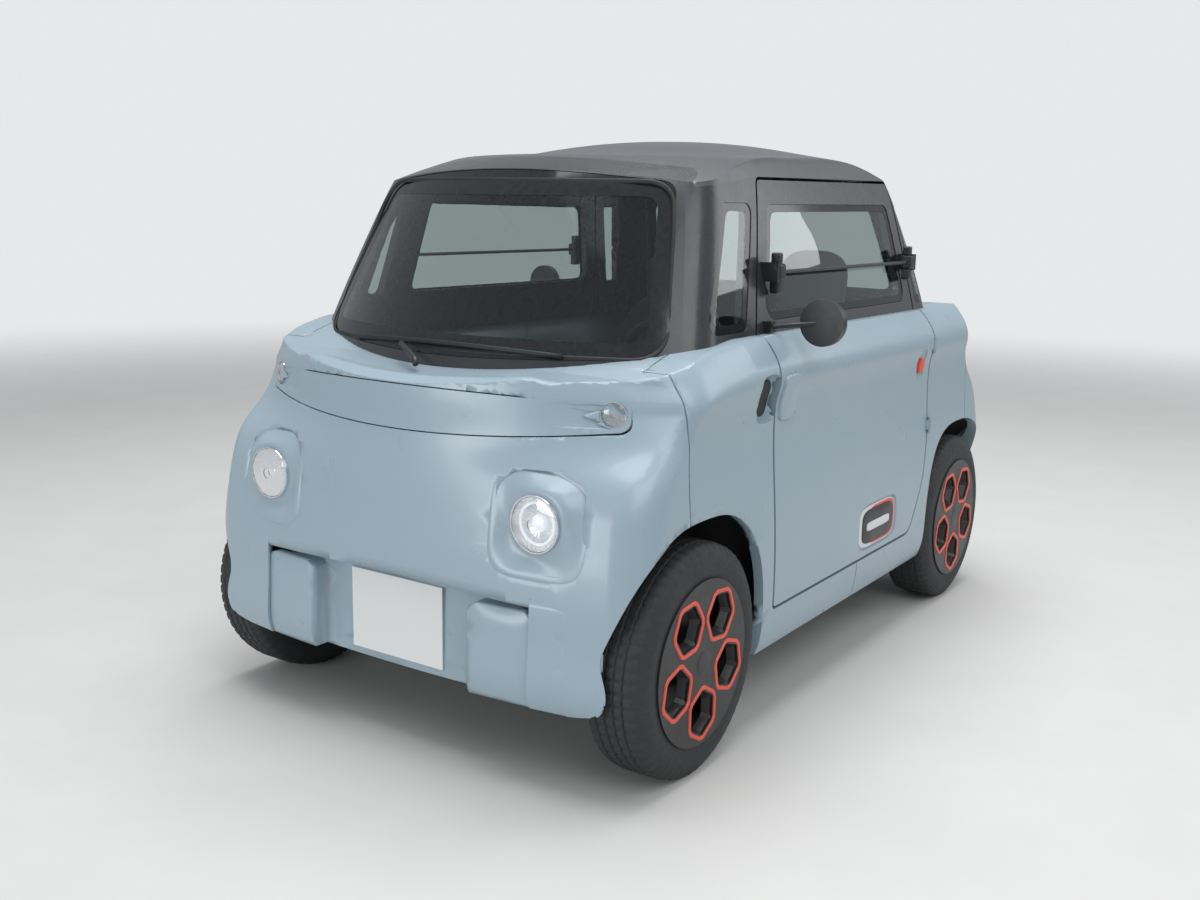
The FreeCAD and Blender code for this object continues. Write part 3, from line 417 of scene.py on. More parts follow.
def ramp(tree, value, low, high):
    # Blend between two colours over the middle of a noise's range
    node = add_node(tree, "ValToRGB", {"Fac": value})
    for element, place, colour in zip(node.color_ramp.elements, noise_range, (low, high)):
        element.position = place
        element.color = (*colour, 1)
    return node.outputs["Color"]


def spread(tree, value, low, high):
    # The middle of a noise's range stretched between two numbers
    start, stop = noise_range
    values = {"Value": value, "From Min": start, "From Max": stop, "To Min": low, "To Max": high}
    return add_node(tree, "MapRange", values).outputs["Result"]


def bump(tree, height, strength, depth):
    values = {"Strength": strength, "Distance": depth, "Height": height}
    return add_node(tree, "Bump", values).outputs["Normal"]


def mixed(tree, share, first, second):
    # Shader that goes from the first to the second as the share rises
    return add_node(tree, "MixShader", {"Fac": share, 1: first, 2: second}).outputs["Shader"]


def show(tree, shader, output="Material Output"):
    tree.links.new(shader, tree.nodes[output].inputs["Surface"])


def shade(colour, factor):
    return tuple(channel * factor for channel in colour)


def surface(name, colour, roughness, tone=0.06, tone_scale=3.0, grain=400.0, grain_depth=0.0001,
            metallic=0.0, coat=0.0, glow=None, glow_strength=0.0):
    # Moulded, painted or metal surface with slight variation and grain
    tree, shader, coords = node_material(name)
    clouds = noise(tree, coords, tone_scale)
    connect(tree, shader, {
        "Base Color": ramp(tree, clouds, shade(colour, 1 - tone), shade(colour, 1 + tone)),
        "Roughness": spread(tree, noise(tree, coords, tone_scale * smudge_factor), *roughness),
        "Normal": bump(tree, noise(tree, coords, grain, grain_detail), grain_strength, grain_depth),
        "Metallic": metallic,
        "Coat Weight": coat,
        "Coat Roughness": coat_roughness,
    })
    if glow:
        connect(tree, shader, {"Emission Color": (*glow, 1), "Emission Strength": glow_strength})
    return tree, shader, coords


def glass(name, tint):
    # Clear pane that lets the lamps light what is behind it
    tree, shader, coords = node_material(name)
    tinted = ramp(tree, noise(tree, coords, pane_tone_scale), shade(tint, pane_tone), tint)
    values = {"Base Color": tinted, "Transmission Weight": 1.0, "IOR": glass_bend, "Roughness": 0.0}
    connect(tree, shader, values)
    clear = add_node(tree, "BsdfTransparent", {"Color": (*shade(tint, pane_shadow), 1)})
    in_shadow = add_node(tree, "LightPath", {}).outputs["Is Shadow Ray"]
    pane = mixed(tree, in_shadow, shader.outputs["BSDF"], clear.outputs["BSDF"])
    show(tree, pane)
    return tree, pane, coords


def math_node(tree, operation, *values):
    # One arithmetic node; each value is a socket or a number
    node = tree.nodes.new("ShaderNodeMath")
    node.operation = operation
    connect(tree, node, dict(enumerate(values)))
    return node.outputs["Value"]


def outline_distance(tree, across, up, corners, softness):
    # Distance outward from a rounded four-cornered outline, below zero inside it
    middle_a, middle_b = [sum(values) / len(corners) for values in zip(*corners)]
    result = None
    for index, (a0, b0) in enumerate(corners):
        a1, b1 = corners[(index + 1) % len(corners)]
        length = math.hypot(a1 - a0, b1 - b0)
        na, nb = (b1 - b0) / length, (a0 - a1) / length
        if na * (middle_a - a0) + nb * (middle_b - b0) > 0:
            na, nb = -na, -nb
        edge = math_node(tree, "MULTIPLY_ADD", up, nb, -na * a0 - nb * b0)
        edge = math_node(tree, "MULTIPLY_ADD", across, na, edge)
        result = edge if result is None else math_node(tree, "SMOOTH_MAX", result, edge, softness)
    return result


def bordered_glass(name, outlines, print_width, softness, sideways):
    # Clear pane with a dark printed border inside its outline
    tree, pane, coords = glass(name, window_tint)
    forward, across, up = add_node(tree, "SeparateXYZ", {"Vector": coords}).outputs
    if sideways:
        across = math_node(tree, "MULTIPLY", forward, math_node(tree, "SIGN", across))
    distance = None
    for corners in outlines:
        shape = outline_distance(tree, across, up, corners, softness)
        distance = shape if distance is None else math_node(tree, "MINIMUM", distance, shape)
    dark = add_node(tree, "BsdfPrincipled", {
        "Base Color": ramp(tree, noise(tree, coords, print_scale), *print_colours),
        "Roughness": print_roughness,
    })
    printed = math_node(tree, "GREATER_THAN", distance, -print_width)
    show(tree, mixed(tree, printed, pane, dark.outputs["BSDF"]))


def woven(name):
    # Woven seat fabric with a fine crossed thread pattern
    tree, shader, coords = node_material(name)
    heights = []
    for direction in ("X", "Y", "Z"):
        values = {"Scale": threads / math.tau, "Distortion": thread_wander, "Vector": coords}
        wave = add_node(tree, "TexWave", values)
        wave.bands_direction = direction
        heights.append(wave.outputs["Fac"])
    crossed = math_node(tree, "MULTIPLY_ADD", *heights)
    clouds = noise(tree, coords, fabric_tone_scale)
    dark, pale = shade(fabric_colour, 1 - fabric_tone), shade(fabric_colour, 1 + fabric_tone)
    connect(tree, shader, {
        "Base Color": ramp(tree, clouds, dark, pale),
        "Roughness": spread(tree, noise(tree, coords, fabric_roughness_scale), *fabric_roughness),
        "Normal": bump(tree, crossed, thread_strength, thread_depth),
        "Sheen Weight": fabric_sheen,
    })


def make_looks():
    for name, (colour, roughness, others) in surfaces.items():
        surface(name, colour, roughness, **others)
    for name, tint in clear_tints.items():
        glass(name, tint)
    for name, values in window_looks.items():
        bordered_glass(name, *values)
    woven("seat_fabric")


def dress_nodes():
    # Every carried-over node takes the material of its window or slot
    for part in frame["record"]["subparts"]:
        node, slot = part["node"], part["material_slot"]
        mesh = frame["nodes"][node].data
        mesh.materials.clear()
        mesh.materials.append(looks[node_looks.get(node, slot_looks.get(slot, slot))])


def add_object(name, data):
    thing = bpy.data.objects.new(name, data)
    bpy.context.scene.collection.objects.link(thing)
    return thing


def piece(name, mesh, look="body_paint", body="root", slot=None):
    # New piece of the scene that rides on a body, in the look's material; the slot is worked out but not
    # used
    thing = add_object(name, mesh)
    mesh.materials.append(looks[look])
    slot = slot or look
    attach(thing, body)
    return thing


def mesh_from(builder, name, smooth=True, crease=None):
    # Mesh of what was built; edges above the crease angle are drawn sharp
    mesh = bpy.data.meshes.new(name)
    builder.normal_update()
    builder.to_mesh(mesh)
    builder.free()
    mesh.polygons.foreach_set("use_smooth", [smooth] * len(mesh.polygons))
    if crease is not None:
        mesh.set_sharp_from_angle(angle=math.radians(crease))
    return mesh


def grid(builder, rows, closed_rows=False, closed_columns=True):
    # Quads between rows of points; both ways can close on themselves
    verts = [[builder.verts.new(point) for point in row] for row in rows]
    count = len(rows)
    width = len(rows[0])
    for i in range(count if closed_rows else count - 1):
        for j in range(width if closed_columns else width - 1):
            a, b = verts[i], verts[(i + 1) % count]
            builder.faces.new((a[j], a[(j + 1) % width], b[(j + 1) % width], b[j]))
    return verts


def close_with_point(builder, ring):
    # Fan that closes a ring of vertices
    tip = builder.verts.new(sum((vert.co for vert in ring), Vector()) / len(ring))
    for index, vert in enumerate(ring):
        builder.faces.new((vert, ring[(index + 1) % len(ring)], tip))


def mesh_of(name, rows, caps=(), facing=None, closed_rows=False, closed_columns=True, smooth=True,
            crease=None):
    # Mesh of rows of points: fans close the rows in caps, and the faces look out or along a direction
    builder = bmesh.new()
    verts = grid(builder, rows, closed_rows, closed_columns)
    for cap in caps:
        close_with_point(builder, verts[cap])
    bmesh.ops.recalc_face_normals(builder, faces=builder.faces)
    if facing and sum(face.normal.dot(Vector(facing)) * face.calc_area() for face in builder.faces) < 0:
        bmesh.ops.reverse_faces(builder, faces=builder.faces)
    return mesh_from(builder, name, smooth, crease)


def smooth_step(value):
    value = min(1.0, max(0.0, value))
    return value * value * (3 - 2 * value)


def steps(low, high, step):
    # Even places from low to high, about a step apart
    count = max(1, round((high - low) / step))
    return [low + (high - low) * index / count for index in range(count + 1)]


def along(line, x):
    # Value of a broken line at a place
    if x <= line[0][0]:
        return line[0][1]
    for (x0, y0), (x1, y1) in zip(line, line[1:]):
        if x <= x1:
            return y0 + (y1 - y0) * (x - x0) / (x1 - x0)
    return line[-1][1]


def hit(nodes, start, direction):
    # First place where a straight line meets the named nodes, or nothing
    best = None
    for node in nodes:
        if node not in skins:
            mesh = frame["nodes"][node].data
            points = [vert.co for vert in mesh.vertices]
            skins[node] = BVHTree.FromPolygons(points, [face.vertices for face in mesh.polygons])
        place, normal, face, distance = skins[node].ray_cast(Vector(start), Vector(direction))
        if place is not None and (best is None or distance < best[1]):
            best = (place, distance)
    return best[0] if best else None


def nose_reach(end, across, up):
    # How far the skin of an end panel stands out
    return abs(hit([end + "_panel"], (far_out * ends[end], across, up), (-ends[end], 0, 0)).x)


def squarer(value, power):
    # Sine or cosine drawn out towards a square's
    return math.copysign(abs(value) ** (2 / power), value)


def rounded_square(angle, half_u, half_v, power):
    # Point on a rounded rectangle at an angle
    return half_u * squarer(math.cos(angle), power), half_v * squarer(math.sin(angle), power)


def skin_rings(node, view, centre, half, power, profile, share_at=lambda u: 1.0):
    # Rings of points that follow the skin seen along a view; the profile gives (share, rise)
    view = Vector(view)
    across = Vector((0, 1, 0)) if view.x else Vector((1, 0, 0))
    up = Vector((0, 0, 1))
    start = Vector(centre) - view * view_start
    base = hit([node], start, view)
    rows = []
    for scale, rise in profile:
        row = []
        for index in range(ring_count):
            angle = math.tau * (index + 0.5) / ring_count
            u, v = rounded_square(angle, half[0] * scale, half[1] * scale, power)
            origin = start + across * u + up * v
            place = hit([node], origin, view)
            if place is None or abs((place - base).dot(view)) > skin_reach:
                place = origin + view * (base - start).dot(view)
            row.append(place - view * rise * share_at(u))
        rows.append(row)
    return rows


def side_view(side, place):
    # Line of sight from one side, and where it points; the place is (forward, up) on the left side
    sign = sides[side]
    return (0, -sign, 0), (place[0] * sign, side_plane * sign, place[1])


def add_pads(pads, node, side, body):
    # Thin shaped pieces that sit on a node's skin
    for name, place, half, power, profile, look, slot in pads:
        view, centre = side_view(side, place)
        rows = skin_rings(node, view, centre, half, power, profile)
        name += "_" + side
        mesh = mesh_of(name, rows, inner_end, (0, sides[side], 0), crease=crease_pad)
        piece(name, mesh, look, body, slot)


def apply_modifiers(thing):
    graph = bpy.context.evaluated_depsgraph_get()
    graph.update()
    mesh = bpy.data.meshes.new_from_object(thing.evaluated_get(graph))
    thing.modifiers.clear()
    thing.data = mesh


def even_normals(thing):
    # Smooth shading that large faces decide, with the sharp edges kept
    weighted = thing.modifiers.new("shading", "WEIGHTED_NORMAL")
    weighted.keep_sharp = True
    weighted.mode = "FACE_AREA_WITH_ANGLE"
    apply_modifiers(thing)


def settle(thing):
    # Marks the sharp edges again after a cut
    thing.data.set_sharp_from_angle(angle=math.radians(crease_skin))
    even_normals(thing)


def copy_of(node, name, look="body_paint", body="root", slot=None):
    # New piece with the same mesh as a carried-over node, which it stands for
    builder = bmesh.new()
    builder.from_mesh(frame["nodes"][node].data)
    bmesh.ops.remove_doubles(builder, verts=builder.verts, dist=weld_gap)
    thing = piece(name, mesh_from(builder, name, crease=crease_skin), look, body, slot)
    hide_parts(node)
    return thing


def carve(thing, node, view, centre, half, power, depths, share_at=lambda u: 1.0):
    # Cuts a dish into a piece, measured down from the node's skin
    profile = [(tip_share, cutter_rise), (1.0, cutter_rise)]
    profile += [(scale, -depth) for scale, depth in depths + [(tip_share, depths[-1][1])]]
    rows = skin_rings(node, view, centre, half, power, profile, share_at)
    cutter = add_object("cutter", mesh_of("cutter", rows, both_ends))
    cut = thing.modifiers.new("cut", "BOOLEAN")
    cut.operation = "DIFFERENCE"
    cut.solver = "EXACT"
    cut.object = cutter
    apply_modifiers(thing)
    bpy.data.objects.remove(cutter)


def cad_hood_z(x):
    # Height of the solids' plain hood at a place forward
    return min(belt_z, cad_hood_axis_z + math.sqrt(cad_hood_radius ** 2 - x ** 2))


def hood_z(x, y):
    # Height of the dished hood, which rolls up to the shoulders
    side = abs(y)
    height = hood_foot_z - hood_fall * (x - hood_foot_x) + side ** 2 / (2 * hood_dish_radius)
    if side > hood_roll_start:
        height += (side - hood_roll_start) ** 2 / (2 * hood_roll_radius)
    return min(height, along(shoulder_line, x))


def lowered_place(place):
    # A point of the nose moved down to the dished hood, less towards the band and the lip
    if place.x < shoulder_line[0][0] or place.z < hood_zone_low:
        return place.copy()
    top = cad_hood_z(place.x)
    drop = max(0.0, top - hood_z(place.x, place.y))
    edge = nose_tip_x - nose_bow * place.y ** 2
    central = smooth_step((lip_half - abs(place.y)) / lip_fade)
    drop *= 1 - central * (1 - smooth_step((edge - place.x) / lip_depth))
    share = smooth_step((place.z - hood_zone_low) / (top - hood_edge_gap - hood_zone_low))
    return Vector((place.x, place.y, place.z - drop * share))


def lower_hood(thing):
    # Cuts the hood into a fine grid and moves it down
    builder = bmesh.new()
    builder.from_mesh(thing.data)
    planes = [((x, 0, 0), (1, 0, 0)) for x in steps(*hood_cut_x, hood_step)]
    planes += [((0, y, 0), (0, 1, 0)) for y in steps(*hood_cut_y, hood_step)]
    planes += [((0, 0, z), (0, 0, 1)) for z in steps(*hood_cut_z, hood_step_up)]
    for place, normal in planes:
        zone = [face for face in builder.faces if max(vert.co.z for vert in face.verts) > hood_zone_low]
        parts = dict.fromkeys(part for face in zone for part in (*face.verts, *face.edges, face))
        bmesh.ops.bisect_plane(builder, geom=list(parts), dist=weld_gap, plane_co=place, plane_no=normal)
    for vert in builder.verts:
        vert.co = lowered_place(vert.co)
    mesh = mesh_from(builder, thing.name, crease=crease_hood)
    mesh.materials.append(thing.data.materials[0])
    thing.data = mesh


def make_roof():
    # Roof whose front half is flatter than the plain dome
    cover = copy_of("roof", "shaped_roof", "roof_black", slot="dark_frame")
    for vert in cover.data.vertices:
        share = smooth_step((vert.co.z - roof_fixed_z) / roof_fixed_rise)
        vert.co.z -= along(roof_drop, vert.co.x) * share
    settle(cover)


def carve_dishes(thing, node, side, dishes):
    for place, half, power, depths in dishes:
        carve(thing, node, *side_view(side, place), half, power, depths)


def make_front_shell():
    # Nose and front fenders with the dished hood
    panel = copy_of("front_panel", "nose_shell")
    lower_hood(panel)
    even_normals(panel)
    for side in sides:
        node = "front_fender_" + side
        fender = copy_of(node, "nose_fender_" + side)
        if node == finger_nodes[side]:
            carve_dishes(fender, node, side, finger_dishes)
        lower_hood(fender)
        even_normals(fender)


def make_tail_fender():
    # Right rear fender, which has the other finger pocket
    node = finger_nodes["right"]
    fender = copy_of(node, "tail_fender_right")
    carve_dishes(fender, node, "right", finger_dishes)
    settle(fender)


def make_band(end):
    # Band with a scoop that deepens towards each indicator
    node = end + "_band"
    facing = ends[end]
    band = copy_of(node, "scooped_band_" + end)
    x, y, z = scoop_place
    for sign in sides.values():
        def depth_share(u):
            run = smooth_step((u * sign + scoop_half[0]) / scoop_run)
            return scoop_least_share + (1 - scoop_least_share) * run

        carve(band, node, (-facing, 0, 0), (x * facing, sign * y, z), scoop_half, scoop_power,
              scoop_depths, depth_share)
    settle(band)


def make_door(side):
    # Door skin with its dishes, and what sits on it
    node = "door_%s_panel" % side
    body = "door_" + side
    door = copy_of(node, "door_skin_" + side, body=body)
    carve_dishes(door, node, side, door_dishes)
    settle(door)
    add_pads(door_pads, node, side, body)


def make_pocket_latch_and_shade(side):
    # Dark sheet of painted shade near the floor of the finger pocket, and the chrome latch in it
    add_pads(finger_pads, finger_nodes[side], side, "root")


def make_nose_corner(end, side):
    # Sheet that closes the nose between the pad and the wheel corner
    facing, sign = ends[end], sides[side]
    inner, widest = nose_close_y
    rows = []
    for z in [nose_close_z[0]] + nose_low_rows + steps(nose_even_z, nose_close_z[1], nose_row_step):
        reach = nose_reach(end, sign * nose_probe, z)
        outer = widest if nose_hole[0] < z < nose_hole[1] else nose_blend_y + nose_blend
        row = []
        for y in steps(inner, outer, (outer - inner) / nose_columns):
            blend = smooth_step(max(z - nose_blend_z, y - nose_blend_y) / nose_blend)
            x = reach + nose_lean * (nose_probe - y) + nose_lift - nose_dip * blend
            row.append((facing * x, sign * y, z))
        x, y, z = row[0]
        rows.append([(x - facing * nose_wall, y, z), (x - facing * nose_edge, y, z)] + row)
    name = "nose_corner_%s_%s" % (end, side)
    mesh = mesh_of(name, rows, facing=(facing, 0, 0), closed_columns=False, crease=crease_pad)
    corner = piece(name, mesh)
    thick = corner.modifiers.new("thick", "SOLIDIFY")
    thick.thickness = nose_sheet
    thick.offset = -1
    apply_modifiers(corner)


def turned_rows(profile, place, direction, count=ring_count):
    # Rings about an axis; the profile gives (place along the axis, radius)
    across = direction.cross(Vector((0, 0, 1))).normalized()
    up = across.cross(direction)
    rows = []
    for depth, radius in profile:
        row = []
        for index in range(count):
            angle = math.tau * index / count
            out = across * math.cos(angle) + up * math.sin(angle)
            row.append(Vector(place) + direction * depth + out * radius)
        rows.append(row)
    return rows


def turned(name, profile, place, direction, look, body, slot, closed=False):
    # Piece turned about an axis: a ring when closed, else with a fan at both ends
    rows = turned_rows(profile, place, Vector(direction))
    mesh = mesh_of(name, rows, () if closed else both_ends, closed_rows=closed, crease=crease_turned)
    return piece(name, mesh, look, body, slot)


def round_lamp(name, place, direction, radius, bowl, lens, replaced, lit=False):
    # Rim, ribbed bowl and domed clear cover, and a bright core and ring when lit
    def sized(shares):
        return [(depth, radius * share) for depth, share in shares]

    def part(ending, shares, look, closed=False):
        return turned(name + ending, sized(shares), place, direction, look, "root", "lamp_clear", closed)

    rim = part("_rim", lamp_rim, "chrome", True)
    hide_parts(replaced)
    direction = Vector(direction)
    rows = turned_rows(sized(lamp_bowl), place, direction, fine_count)
    for row in rows[1:3]:
        for index in range(0, len(row), rib_pitch):
            for near in (index, index + 1):
                row[near] += direction * rib_rise
    piece(name + "_bowl", mesh_of("bowl", rows, inner_end, smooth=False), bowl, "root", "lamp_clear")
    if lit:
        part("_core", lamp_core, "lamp_light")
        part("_ring", lamp_ring, "lamp_light", True)
    inner = [(depth - cover_wall, share * cover_inner_share) for depth, share in reversed(lamp_cover)]
    part("_cover", lamp_cover + inner, lens)


def make_lamp_recess(end, side):
    # Body-coloured bowl that leads from the skin to the round lamp
    facing, sign = ends[end], sides[side]
    lamp_x, lamp_y, lamp_z = headlamp_place
    rows = []
    for number in range(recess_rings):
        t = number / (recess_rings - 1)
        lip = recess_lip * (2 * smooth_step(t / recess_lip_share) - 1)
        sink = smooth_step((t - recess_lip_share) * recess_fall)
        row = []
        for index in range(fine_count):
            angle = math.tau * index / fine_count
            u, v = rounded_square(angle, recess_half, recess_half, recess_power)
            rim_y, rim_z = recess_middle[0] + u, recess_middle[1] + v
            reach = nose_reach(end, sign * rim_y, rim_z)
            round_y = lamp_y + headlamp_radius * recess_end_share * math.cos(angle)
            round_z = lamp_z + headlamp_radius * recess_end_share * math.sin(angle)
            x = reach + lip + (lamp_x - recess_behind - reach) * sink
            row.append((facing * x, sign * (rim_y + (round_y - rim_y) * t), rim_z + (round_z - rim_z) * t))
        rows.append(row)
    name = "lamp_recess_%s_%s" % (end, side)
    piece(name, mesh_of(name, rows, facing=(facing, 0, 0)))


def make_lamps(end):
    # Main lamps and indicators at one end; both ends are the same moulding
    facing = ends[end]
    turn = math.radians(indicator_turn)
    for side, sign in sides.items():
        make_lamp_recess(end, side)
        x, y, z = headlamp_place
        round_lamp("%s_lamp_%s" % (end, side), (facing * x, sign * y, z), (facing, 0, 0), headlamp_radius,
                   *end_lamps[end], end == "front")
        x, y, z = indicator_place
        aim = (facing * math.cos(turn), sign * math.sin(turn), 0)
        round_lamp("%s_indicator_%s" % (end, side), (facing * x, sign * y, z), aim, indicator_radius,
                   "signal_bowl", "lens_clear", "indicators")


def pillow(name, centre, half, lean, power, channels):
    # Crowned cushion with rounded corners, sewn channels and a forward or backward lean
    turn = Matrix.Rotation(math.radians(lean), 3, "Y")
    rows = []
    for i in range(1, cushion_rings):
        rise = -math.pi / 2 + math.pi * i / cushion_rings
        width = squarer(math.cos(rise), power[0])
        height = squarer(math.sin(rise), power[0])
        row = []
        for j in range(fine_count):
            u, v = rounded_square(math.tau * j / fine_count, 1.0, 1.0, power[1])
            local = Vector((u * width * half[0], v * width * half[1], height * half[2]))
            pull = 0.0
            for axis, places, channel_width, depth in channels:
                for place in places:
                    gap = (local[axis] - place) / channel_width
                    pull += depth * math.exp(-gap * gap)
            scale = 1 - pull / max(channel_least_reach, local.length)
            row.append(Vector(centre) + turn @ (local * scale))
        rows.append(row)
    cushion = piece(name, mesh_of(name, rows, both_ends), "seat_fabric")
    return cushion


def make_seat(node):
    # Three cushions on a dark base
    x, y = seat_places[node]
    for part, ((forward, up), half, lean, power, channels) in seat_cushions.items():
        cushion = pillow(node + "_" + part, (x + forward, y, seat_low + up), half, lean, power, channels)
        if part == "cushion":
            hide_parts(node)
    low, high = [(x + corner[0], y + corner[1], corner[2]) for corner in (seat_base_low, seat_base_high)]
    round_box(node + "_base", low, high, seat_base_round)


def round_box(name, low, high, round_size, body="root"):
    # Dark block with rounded edges
    builder = bmesh.new()
    bmesh.ops.create_cube(builder, size=1.0)
    low, high = Vector(low), Vector(high)
    for vert in builder.verts:
        vert.co = Vector([low[i] + (vert.co[i] + 0.5) * (high[i] - low[i]) for i in range(3)])
    bmesh.ops.bevel(builder, geom=builder.edges[:], offset=round_size, segments=box_segments, profile=0.5,
                    affect="EDGES")
    piece(name, mesh_from(builder, name, crease=crease_box), "black_plastic", body)


def make_flap_brackets(side):
    # Stacked round-edged blocks that hold the bar of the fold-up window
    sign = sides[side]
    for number, x in enumerate(bracket_places):
        for level, (rise, half_x, half_z, depth) in enumerate(bracket_blocks):
            y0, y1 = sorted((sign * bracket_y, sign * (bracket_y + depth)))
            z = bracket_z + rise
            round_box("bracket_%s_%d_%d" % (side, number, level), (x * sign - half_x, y0, z - half_z),
                      (x * sign + half_x, y1, z + half_z), bracket_round, "door_" + side)


def tube(name, points, radius, look, flat=1.0, closed=False):
    # Round or flattened bar through points
    rows = []
    total = len(points)
    for index, point in enumerate(points):
        before = points[(index - 1) % total] if closed or index > 0 else point
        after = points[(index + 1) % total] if closed or index < total - 1 else point
        ahead = (Vector(after) - Vector(before)).normalized()
        across = ahead.cross(Vector(tube_side)).normalized()
        other = ahead.cross(across)
        row = []
        for k in range(tube_count):
            angle = math.tau * k / tube_count
            out = across * radius * math.cos(angle) + other * radius * flat * math.sin(angle)
            row.append(Vector(point) + out)
        rows.append(row)
    mesh = mesh_of(name, rows, () if closed else both_ends, closed_rows=closed)
    piece(name, mesh, look, slot="black_plastic")


def rounded_corners(corners, radius):
    # Closed outline with round corners, in even steps
    points = []
    for index, corner in enumerate(corners):
        here = Vector(corner)
        before = (Vector(corners[index - 1]) - here).normalized()
        after = (Vector(corners[(index + 1) % len(corners)]) - here).normalized()
        for step in range(seal_corner_steps + 1):
            t = step / seal_corner_steps
            points.append(here + before * radius * (1 - t) ** 2 + after * radius * t ** 2)
    full = []
    for index, point in enumerate(points):
        following = points[(index + 1) % len(points)]
        parts = max(1, round((following - point).length / seal_step))
        full += [point + (following - point) * part / parts for part in range(parts)]
    return full


def make_windshield_seal():
    # Rubber lip round the windshield
    points = []
    for across, up in rounded_corners(windshield_corners, seal_corner):
        place = hit(["windshield", "cabin_frame_front", "roof"], (far_out, across, up), (-1, 0, 0))
        if place is not None and place.x > seal_least_x:
            points.append(place + Vector((seal_rise, 0, 0)))
    for smoothing in range(seal_smoothings):
        depths = [point.x for point in points]
        for index, point in enumerate(points):
            point.x = (depths[index - 1] + 2 * depths[index] + depths[(index + 1) % len(points)]) / 4
    tube("windshield_seal", points, seal_radius, "seal_rubber", seal_flat, True)


def make_wiper():
    # Blade and arm at the foot of the windshield
    glass_nodes = ["windshield", "cabin_frame_front"]
    blade = []
    for step in range(blade_steps + 1):
        t = step / blade_steps
        y, z = -blade_half + 2 * blade_half * t, blade_z + blade_bow * math.sin(math.pi * t)
        blade.append(hit(glass_nodes, (far_out, y, z), (-1, 0, 0)) + Vector(blade_rise))
    tube("wiper_blade", blade, blade_radius, "seal_rubber", blade_flat)
    arm = []
    for y, z, rise in arm_points:
        arm.append(hit(glass_nodes + ["front_panel"], (far_out, y, z), (-1, 0, 0)) + Vector((rise, 0, 0)))
    tube("wiper_arm", arm, arm_radius, "black_plastic")


def middle(node):
    low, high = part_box(node)
    return (Vector(low) + Vector(high)) / 2


def cover_face(wheel, side):
    # Middle of the outer face of a wheel cover
    centre = middle("tyre_" + wheel)
    low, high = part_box("wheel_" + wheel)
    return Vector((centre.x, high[1] if sides[side] > 0 else low[1], centre.z))


def hexagon_rows(index, profile, face, sign):
    # Rings round one opening, with slightly cut corners; the profile gives (rise from the face, radius)
    turn = hex_start + math.tau * index / hex_count
    x, z = face.x + hex_middle * math.cos(turn), face.z + hex_middle * math.sin(turn)
    angles = [turn + math.pi / 3 * corner + slip for corner in range(6) for slip in hex_corner_turns]
    rows = []
    for rise, radius in profile:
        y = face.y + sign * rise
        rows.append([(x + radius * math.cos(angle), y, z + radius * math.sin(angle)) for angle in angles])
    return rows


def make_hub_cap(wheel, side):
    # Domed middle of the cover
    turned("hub_cap_" + wheel, hub_cap, cover_face(wheel, side), (0, sides[side], 0), "black_plastic",
           "wheel_" + wheel, "wheel_black")


def make_pockets(wheel, side):
    # Pocket walls behind the five openings
    face = cover_face(wheel, side)
    profile = [(-depth, hex_inner * share) for depth, share in hex_pocket]
    for index in range(hex_count):
        name = "pocket_%s_%d" % (wheel, index)
        mesh = mesh_of(name, hexagon_rows(index, profile, face, sides[side]), smooth=False)
        piece(name, mesh, "wheel_black", "wheel_" + wheel)


def make_cover_rims(wheel, side):
    # Raised coloured band round each opening, with a bevelled top
    face = cover_face(wheel, side)
    lean = hex_outline * hex_bevel_share
    outer = hex_inner + hex_outline
    top = hex_rise - hex_sink
    profile = [(-hex_sink, hex_inner), (top, hex_inner + lean), (top, outer - lean), (-hex_sink, outer)]
    builder = bmesh.new()
    for index in range(hex_count):
        grid(builder, hexagon_rows(index, profile, face, sides[side]))
    bmesh.ops.recalc_face_normals(builder, faces=builder.faces)
    name = "cover_rims_" + wheel
    piece(name, mesh_from(builder, name, False), "orange_red", "wheel_" + wheel, "wheel_black")


def tyre_profile(half, outer):
    # Across the tyre: (place across, radius, share of the sipe's depth)
    wall = [(inward - half, rim_seat_radius + out, 0) for inward, out in wall_low]
    wall.append((-half, (outer + rim_seat_radius) / 2, 0))
    wall += [(inward - half, outer - down, 0) for inward, down in wall_high]
    wall.append((tyre_shoulder[0] - half, outer - tyre_shoulder[1], 1))
    wall.append((-tread_half, outer - tread_edge_drop, 1))
    tread = []
    pitch = 2 * tread_half / (tread_grooves + 1)
    edge = groove_width / 2
    foot = edge * groove_foot_share
    for index in range(tread_grooves):
        place = -tread_half + pitch * (index + 1)
        tread += [(place - edge - groove_lip, outer, 1), (place - edge, outer, 1),
                  (place - foot, outer - groove_depth, 0), (place + foot, outer - groove_depth, 0),
                  (place + edge, outer, 1), (place + edge + groove_lip, outer, 1)]
    return wall + tread + [(-y, radius, share) for y, radius, share in reversed(wall)]


def make_tyre(wheel):
    # Tyre with grooves and sipes, in place of the plain one
    node = "tyre_" + wheel
    low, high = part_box(node)
    centre = middle(node)
    profile = tyre_profile((high[1] - low[1]) / 2, (high[2] - low[2]) / 2)
    rows = []
    for step in range(tread_steps):
        angle = math.tau * step / tread_steps
        cut = sipe_depth if step % sipe_every == 0 else 0.0
        row = []
        for across, radius, share in profile:
            r = radius - cut * share
            row.append(centre + Vector((r * math.cos(angle), across, r * math.sin(angle))))
        rows.append(row)
    mesh = mesh_of(node, rows, closed_rows=True, closed_columns=False)
    tyre = piece("tread_" + wheel, mesh, "tyre_rubber", "wheel_" + wheel, "tyre")
    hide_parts(node)


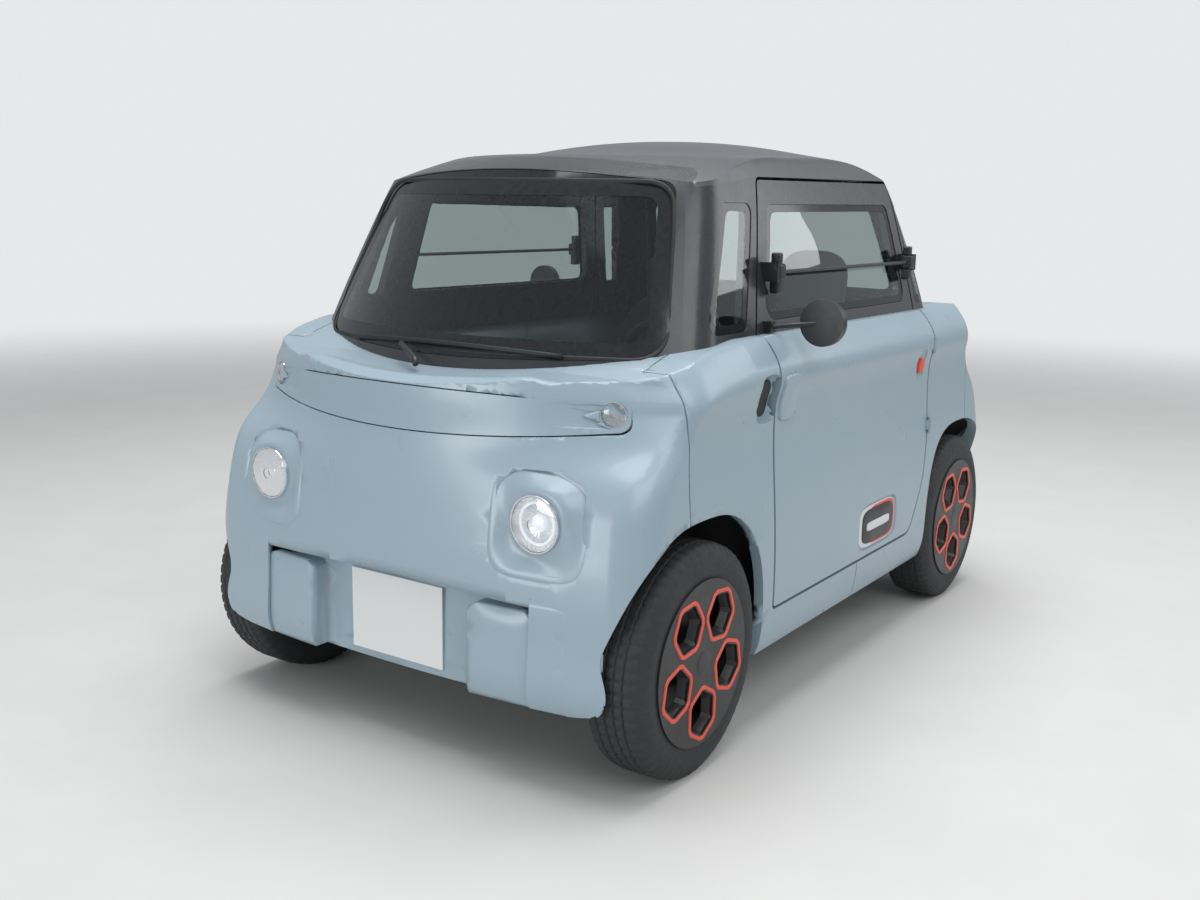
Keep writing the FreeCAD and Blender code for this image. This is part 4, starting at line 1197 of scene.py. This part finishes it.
def make_camera():
    data = bpy.data.cameras.new("camera")
    data.lens = camera_lens
    data.sensor_width = sensor_width
    camera = add_object("camera", data)
    turn, rise, roll = map(math.radians, (camera_azimuth, camera_rise, camera_roll))
    back = Vector((math.cos(turn) * math.cos(rise), math.sin(turn) * math.cos(rise), math.sin(rise)))
    right = (-back).cross(Vector((0, 0, 1))).normalized()
    up = right.cross(-back)
    turned_right = math.cos(roll) * right + math.sin(roll) * up
    turned_up = math.cos(roll) * up - math.sin(roll) * right
    axes = Matrix((turned_right, turned_up, back)).transposed().to_4x4()
    camera.matrix_world = Matrix.Translation(camera_place) @ axes
    bpy.context.scene.camera = camera


def area_light(name, place, target, size, power):
    data = bpy.data.lights.new(name, "AREA")
    data.shape = "RECTANGLE"
    data.size, data.size_y = size
    data.energy = power
    light = add_object(name, data)
    light.location = place
    light.rotation_mode = "QUATERNION"
    light.rotation_quaternion = (Vector(target) - Vector(place)).to_track_quat("-Z", "Y")


def make_floor():
    # Pale floor that fades into the backdrop
    colour, roughness, others = floor_look
    tree, shader, coords = surface("floor", colour, roughness, **others)
    length = tree.nodes.new("ShaderNodeVectorMath")
    length.operation = "LENGTH"
    tree.links.new(coords, length.inputs[0])
    far = add_node(tree, "MapRange", {"From Min": floor_fade[0], "From Max": floor_fade[1],
                                      "Value": length.outputs["Value"]})
    far.interpolation_type = "SMOOTHSTEP"
    clear = add_node(tree, "BsdfTransparent", {})
    show(tree, mixed(tree, far.outputs["Result"], shader.outputs["BSDF"], clear.outputs["BSDF"]))
    builder = bmesh.new()
    bmesh.ops.create_grid(builder, x_segments=1, y_segments=1, size=floor_size / 2)
    floor = add_object("floor", mesh_from(builder, "floor", False))
    floor.data.materials.append(looks["floor"])


def make_backdrop():
    # Soft sky that lights the car, and a pale backdrop that the camera sees
    world = bpy.data.worlds.new("studio")
    world.use_nodes = True
    tree = world.node_tree
    sky = tree.nodes["Background"]
    connect(tree, sky, {"Color": (*sky_colour, 1), "Strength": sky_strength})
    backdrop = add_node(tree, "Background", {"Color": (*backdrop_colour, 1)})
    seen = add_node(tree, "LightPath", {}).outputs["Is Camera Ray"]
    show(tree, mixed(tree, seen, sky.outputs["Background"], backdrop.outputs["Background"]), "World Output")
    bpy.context.scene.world = world


make_looks()
dress_nodes()
for end in ends:
    for side in sides:
        wheel = end + "_" + side
        make_tyre(wheel)
        make_cover_rims(wheel, side)
        make_hub_cap(wheel, side)
        make_pockets(wheel, side)
make_roof()
make_front_shell()
make_tail_fender()
for end in ends:
    make_band(end)
for end in ends:
    for side in sides:
        make_nose_corner(end, side)
for end in ends:
    make_lamps(end)
for side in sides:
    make_door(side)
    make_pocket_latch_and_shade(side)
    make_flap_brackets(side)
for node in seat_places:
    make_seat(node)
make_windshield_seal()
make_wiper()
make_camera()
make_floor()
make_backdrop()
for light in studio_lights:
    area_light(*light)
bpy.context.scene.view_settings.view_transform = "Standard"
